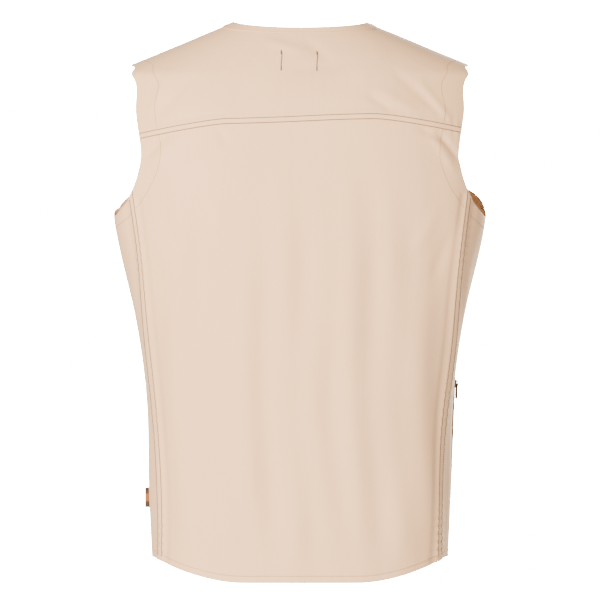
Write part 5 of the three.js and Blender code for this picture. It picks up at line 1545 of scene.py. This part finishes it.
SIDE_ZIP_ANGLES = {"left": -0.58, "right": -0.47}
SIDE_ZIP_LOW, SIDE_ZIP_HIGH, SIDE_TAPE_HALF = 104, 262, 7
for side_name, side in (("left", 1), ("right", -1)):
    turn = SIDE_ZIP_ANGLES[side_name]
    foot, head = (body(turn, h) + outward(turn, h) * (SHELL + 2.4) for h in (SIDE_ZIP_LOW, SIDE_ZIP_HIGH))
    under = body(turn, SIDE_ZIP_LOW) + outward(turn, SIDE_ZIP_LOW) * SHELL
    length = float(np.linalg.norm(head - foot))
    up = (head - foot) / length
    inward = under - foot
    inward = inward - up * np.dot(inward, up)
    inward /= np.linalg.norm(inward)
    place = Frame(foot, np.cross(inward, up), inward, up)
    rows, across = np.linspace(0, length, 90)[:, None], np.linspace(
        -SIDE_TAPE_HALF, SIDE_TAPE_HALF, 29
    )[None, :]
    ripple = 0.1 * np.sin(rows / 4) * np.sin(across / 2.5) + 0.1 * (np.abs(across) > 6.2)
    outer = other_side(place(across, -TAPE_THICK + ripple, rows), side)
    inner = other_side(place(across, 0 * rows + 0 * across, rows), side)
    side_uv = np.stack(np.broadcast_arrays(across, rows), -1)
    tape = sheet_mesh(f"hand_zip_tape_{side_name}", outer, inner, side_uv, tape_cloth)
    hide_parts(f"side_zip_{side_name}")
    shown = Frame(place.at * [side, 1, 1], *(place.axes * [side, 1, 1]))
    for half_name, sign in (("near", 1), ("far", -1)):
        links = np.arange(3.0 + (LINK_OFFSET if sign < 0 else 0), length - 3, LINK_PITCH)
        teeth(
            f"hand_zip_links_{half_name}_{side_name}", shown, links, sign * COIL_WIDTH / 2, -0.2 * sign,
            -TAPE_THICK - COIL_DEPTH / 2, 1.3
        )
    for row, offset in (("front", SIDE_TAPE_HALF - 1.6), ("back", 1.6 - SIDE_TAPE_HALF)):
        path = other_side(
            place(np.full(200, offset), np.full(200, -TAPE_THICK - 0.02), np.linspace(1, length - 1, 200)), side
        )
        out = np.repeat(other_side(place.way(0, -1, 0)[None, :], side), 200, 0)
        stitches(f"hand_zip_{row}_stitches_{side_name}", None, brown_thread, points=path, normals=out)
    cast_copy(f"side_slider_{side_name}", f"cast_side_slider_{side_name}", f"side_slider_{side_name}")
    cast_copy(f"side_pull_{side_name}", f"cast_side_pull_{side_name}", f"side_pull_{side_name}", 0.4)

# ---------------------------------------------------------------- D-rings
# Each ring is bent from wire and hangs by its bar in a folded tape that is sewn to the chest.

RING_WIRE, RING_HALF, RING_SHOULDER, RING_X, RING_Z = 1.1, 12, 3, 112, 512
TAB_HALF, TAB_RADIUS, TAB_BACK, TAB_HEIGHT = 9, 3.0, -0.6, 18
place, _ = front_frame(RING_X - RING_HALF, RING_X + RING_HALF, RING_Z - 2 * RING_HALF, RING_Z + TAB_HEIGHT)
ring_y = TAB_BACK - TAB_RADIUS
for side_name, side in (("left", 1), ("right", -1)):
    bend = np.linspace(math.pi, 2 * math.pi, 33)
    corner = np.linspace(0, QUARTER, 6)[1:-1]
    bar_x = np.linspace(RING_HALF - 1.2, -RING_HALF + 1.2, 15)
    left_x, left_z = -RING_HALF + 1.2 - 1.2 * np.sin(corner), -1.2 + 1.2 * np.cos(corner)
    path_x = np.concatenate([bar_x, left_x, RING_HALF * np.cos(bend), -left_x[::-1]])
    path_z = np.concatenate([0 * bar_x, left_z, -RING_SHOULDER + RING_HALF * np.sin(bend), left_z[::-1]])
    wire_line = np.stack([path_x, 0 * path_x, path_z], -1)
    step = np.roll(wire_line, -1, 0) - np.roll(wire_line, 1, 0)
    step /= np.linalg.norm(step, axis=1, keepdims=True)
    turn = np.arange(14) * 2 * math.pi / 14
    circle = RING_WIRE * np.stack([np.cos(turn), np.sin(turn)], -1)
    centre = other_side(place(path_x, ring_y + 0 * path_x, RING_Z + path_z), side)
    sideways = other_side(np.cross(step, (0, 1, 0)) @ place.axes, side)
    ring = swept(
        f"wire_ring_{side_name}", centre, sideways, other_side(place.way(0, 1, 0)[None, :], side)[0], circle,
        bronze, f"d_ring_{side_name}", closed=True
    )
    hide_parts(f"d_ring_{side_name}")
    # The strap goes down the cloth, round the ring's bar and back up over itself.
    loop_turn = np.linspace(0, 1.5 * math.pi, 25)
    radius = 2.35
    loop_y = ring_y + radius * np.cos(loop_turn)
    loop_z = RING_Z - radius * np.sin(loop_turn)
    strap_y = np.concatenate([np.full(12, ring_y + radius), loop_y[1:], [TAB_BACK - 1.2] * 12])
    strap_z = np.concatenate(
        [np.linspace(RING_Z + TAB_HEIGHT, RING_Z + 0.6, 12), loop_z[1:], np.linspace(RING_Z + radius + 1.6, RING_Z + TAB_HEIGHT, 12)]
    )
    line = other_side(place(0 * strap_y, strap_y, strap_z), side)
    step = np.gradient(line, axis=0)
    step /= np.linalg.norm(step, axis=1, keepdims=True)
    width_way = other_side(place.way(1, 0, 0)[None, :], side)[0]
    strap = swept(
        f"ring_strap_{side_name}", line, width_way, np.cross(step, width_way), soft_slab(2 * TAB_HALF, 0.9),
        tape_cloth
    )
    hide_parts(f"ring_tab_{side_name}")
    box_x = np.concatenate(
        [np.linspace(-7, 7, 30), np.full(30, 7.0), np.linspace(7, -7, 30), np.full(30, -7.0), np.linspace(-7, 7, 40)]
    )
    box_z = RING_Z + np.concatenate(
        [np.full(30, 7.0), np.linspace(7, 16.5, 30), np.full(30, 16.5), np.linspace(16.5, 7, 30), np.linspace(7, 16.5, 40)]
    )
    points = other_side(place(box_x, np.full(len(box_x), TAB_BACK - 1.68), box_z), side)
    out = np.repeat(other_side(place.way(0, -1, 0)[None, :], side), len(box_x), 0)
    stitches(f"ring_strap_stitches_{side_name}", None, brown_thread, pitch=2.4, points=points, normals=out)

# ---------------------------------------------------------------- fly patch
# A square of sheep's fleece on the right chest, where flies are hooked to dry.

fleece, tree, principled = shader("fleece", 0.95, Sheen_Weight=0.6, Sheen_Roughness=0.6)
place = node(tree, "ShaderNodeTexCoord").outputs["Object"]
curls = node(tree, "ShaderNodeTexVoronoi", [("Vector", place), ("Scale", 620.0)])
fluff = node(tree, "ShaderNodeTexNoise", [("Vector", place), ("Scale", 1400.0), ("Detail", 4.0)])
# The colour runs from light at the middle of each curl to dark at its edge, where the bump sinks: painted shade in the
# gaps between the curls.
ramp = node(tree, "ShaderNodeValToRGB", [("Fac", curls.outputs["Distance"])])
ramp.color_ramp.elements[0].color, ramp.color_ramp.elements[1].color = (0.86, 0.72, 0.54, 1), (0.50, 0.38, 0.26, 1)
tree.links.new(ramp.outputs["Color"], principled.inputs["Base Color"])
height = math_node(tree, "ADD", fluff.outputs[0], math_node(tree, "MULTIPLY", curls.outputs["Distance"], -1.2))
bump = node(tree, "ShaderNodeBump", [("Height", height), ("Strength", 0.9), ("Distance", 0.0006)])
tree.links.new(bump.outputs[0], principled.inputs["Normal"])
PATCH_LEFT, PATCH_RIGHT, PATCH_LOW, PATCH_HIGH = -82, -42, 474, 520
x = np.linspace(PATCH_LEFT, PATCH_RIGHT, 121)[None, :] + np.zeros((141, 1))
z = np.linspace(PATCH_LOW, PATCH_HIGH, 141)[:, None] + np.zeros((1, 121))
angle = math.pi - angle_at(0, np.abs(x), z, -1)
to_edge = np.minimum(np.minimum(x - PATCH_LEFT, PATCH_RIGHT - x), np.minimum(z - PATCH_LOW, PATCH_HIGH - z))
domed = np.sqrt(1 - (1 - np.clip(to_edge / 3.5, 0, 1)) ** 2)
curl = 0.6 * np.sin(x * 1.9 + 2 * np.sin(z * 0.8)) * np.sin(
    z * 1.7 + 1.5 * np.sin(x * 0.9)
) + 0.35 * np.sin(x * 3.1 + z * 2.3)
pile = SHELL + 1.6 + (3.6 + curl) * domed
patch = sheet_mesh(
    "fleece_patch", cloth(angle, z, pile), cloth(angle, z, SHELL + 0.6 + 0 * z), np.stack([x, z], -1), fleece,
)
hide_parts("fly_patch")
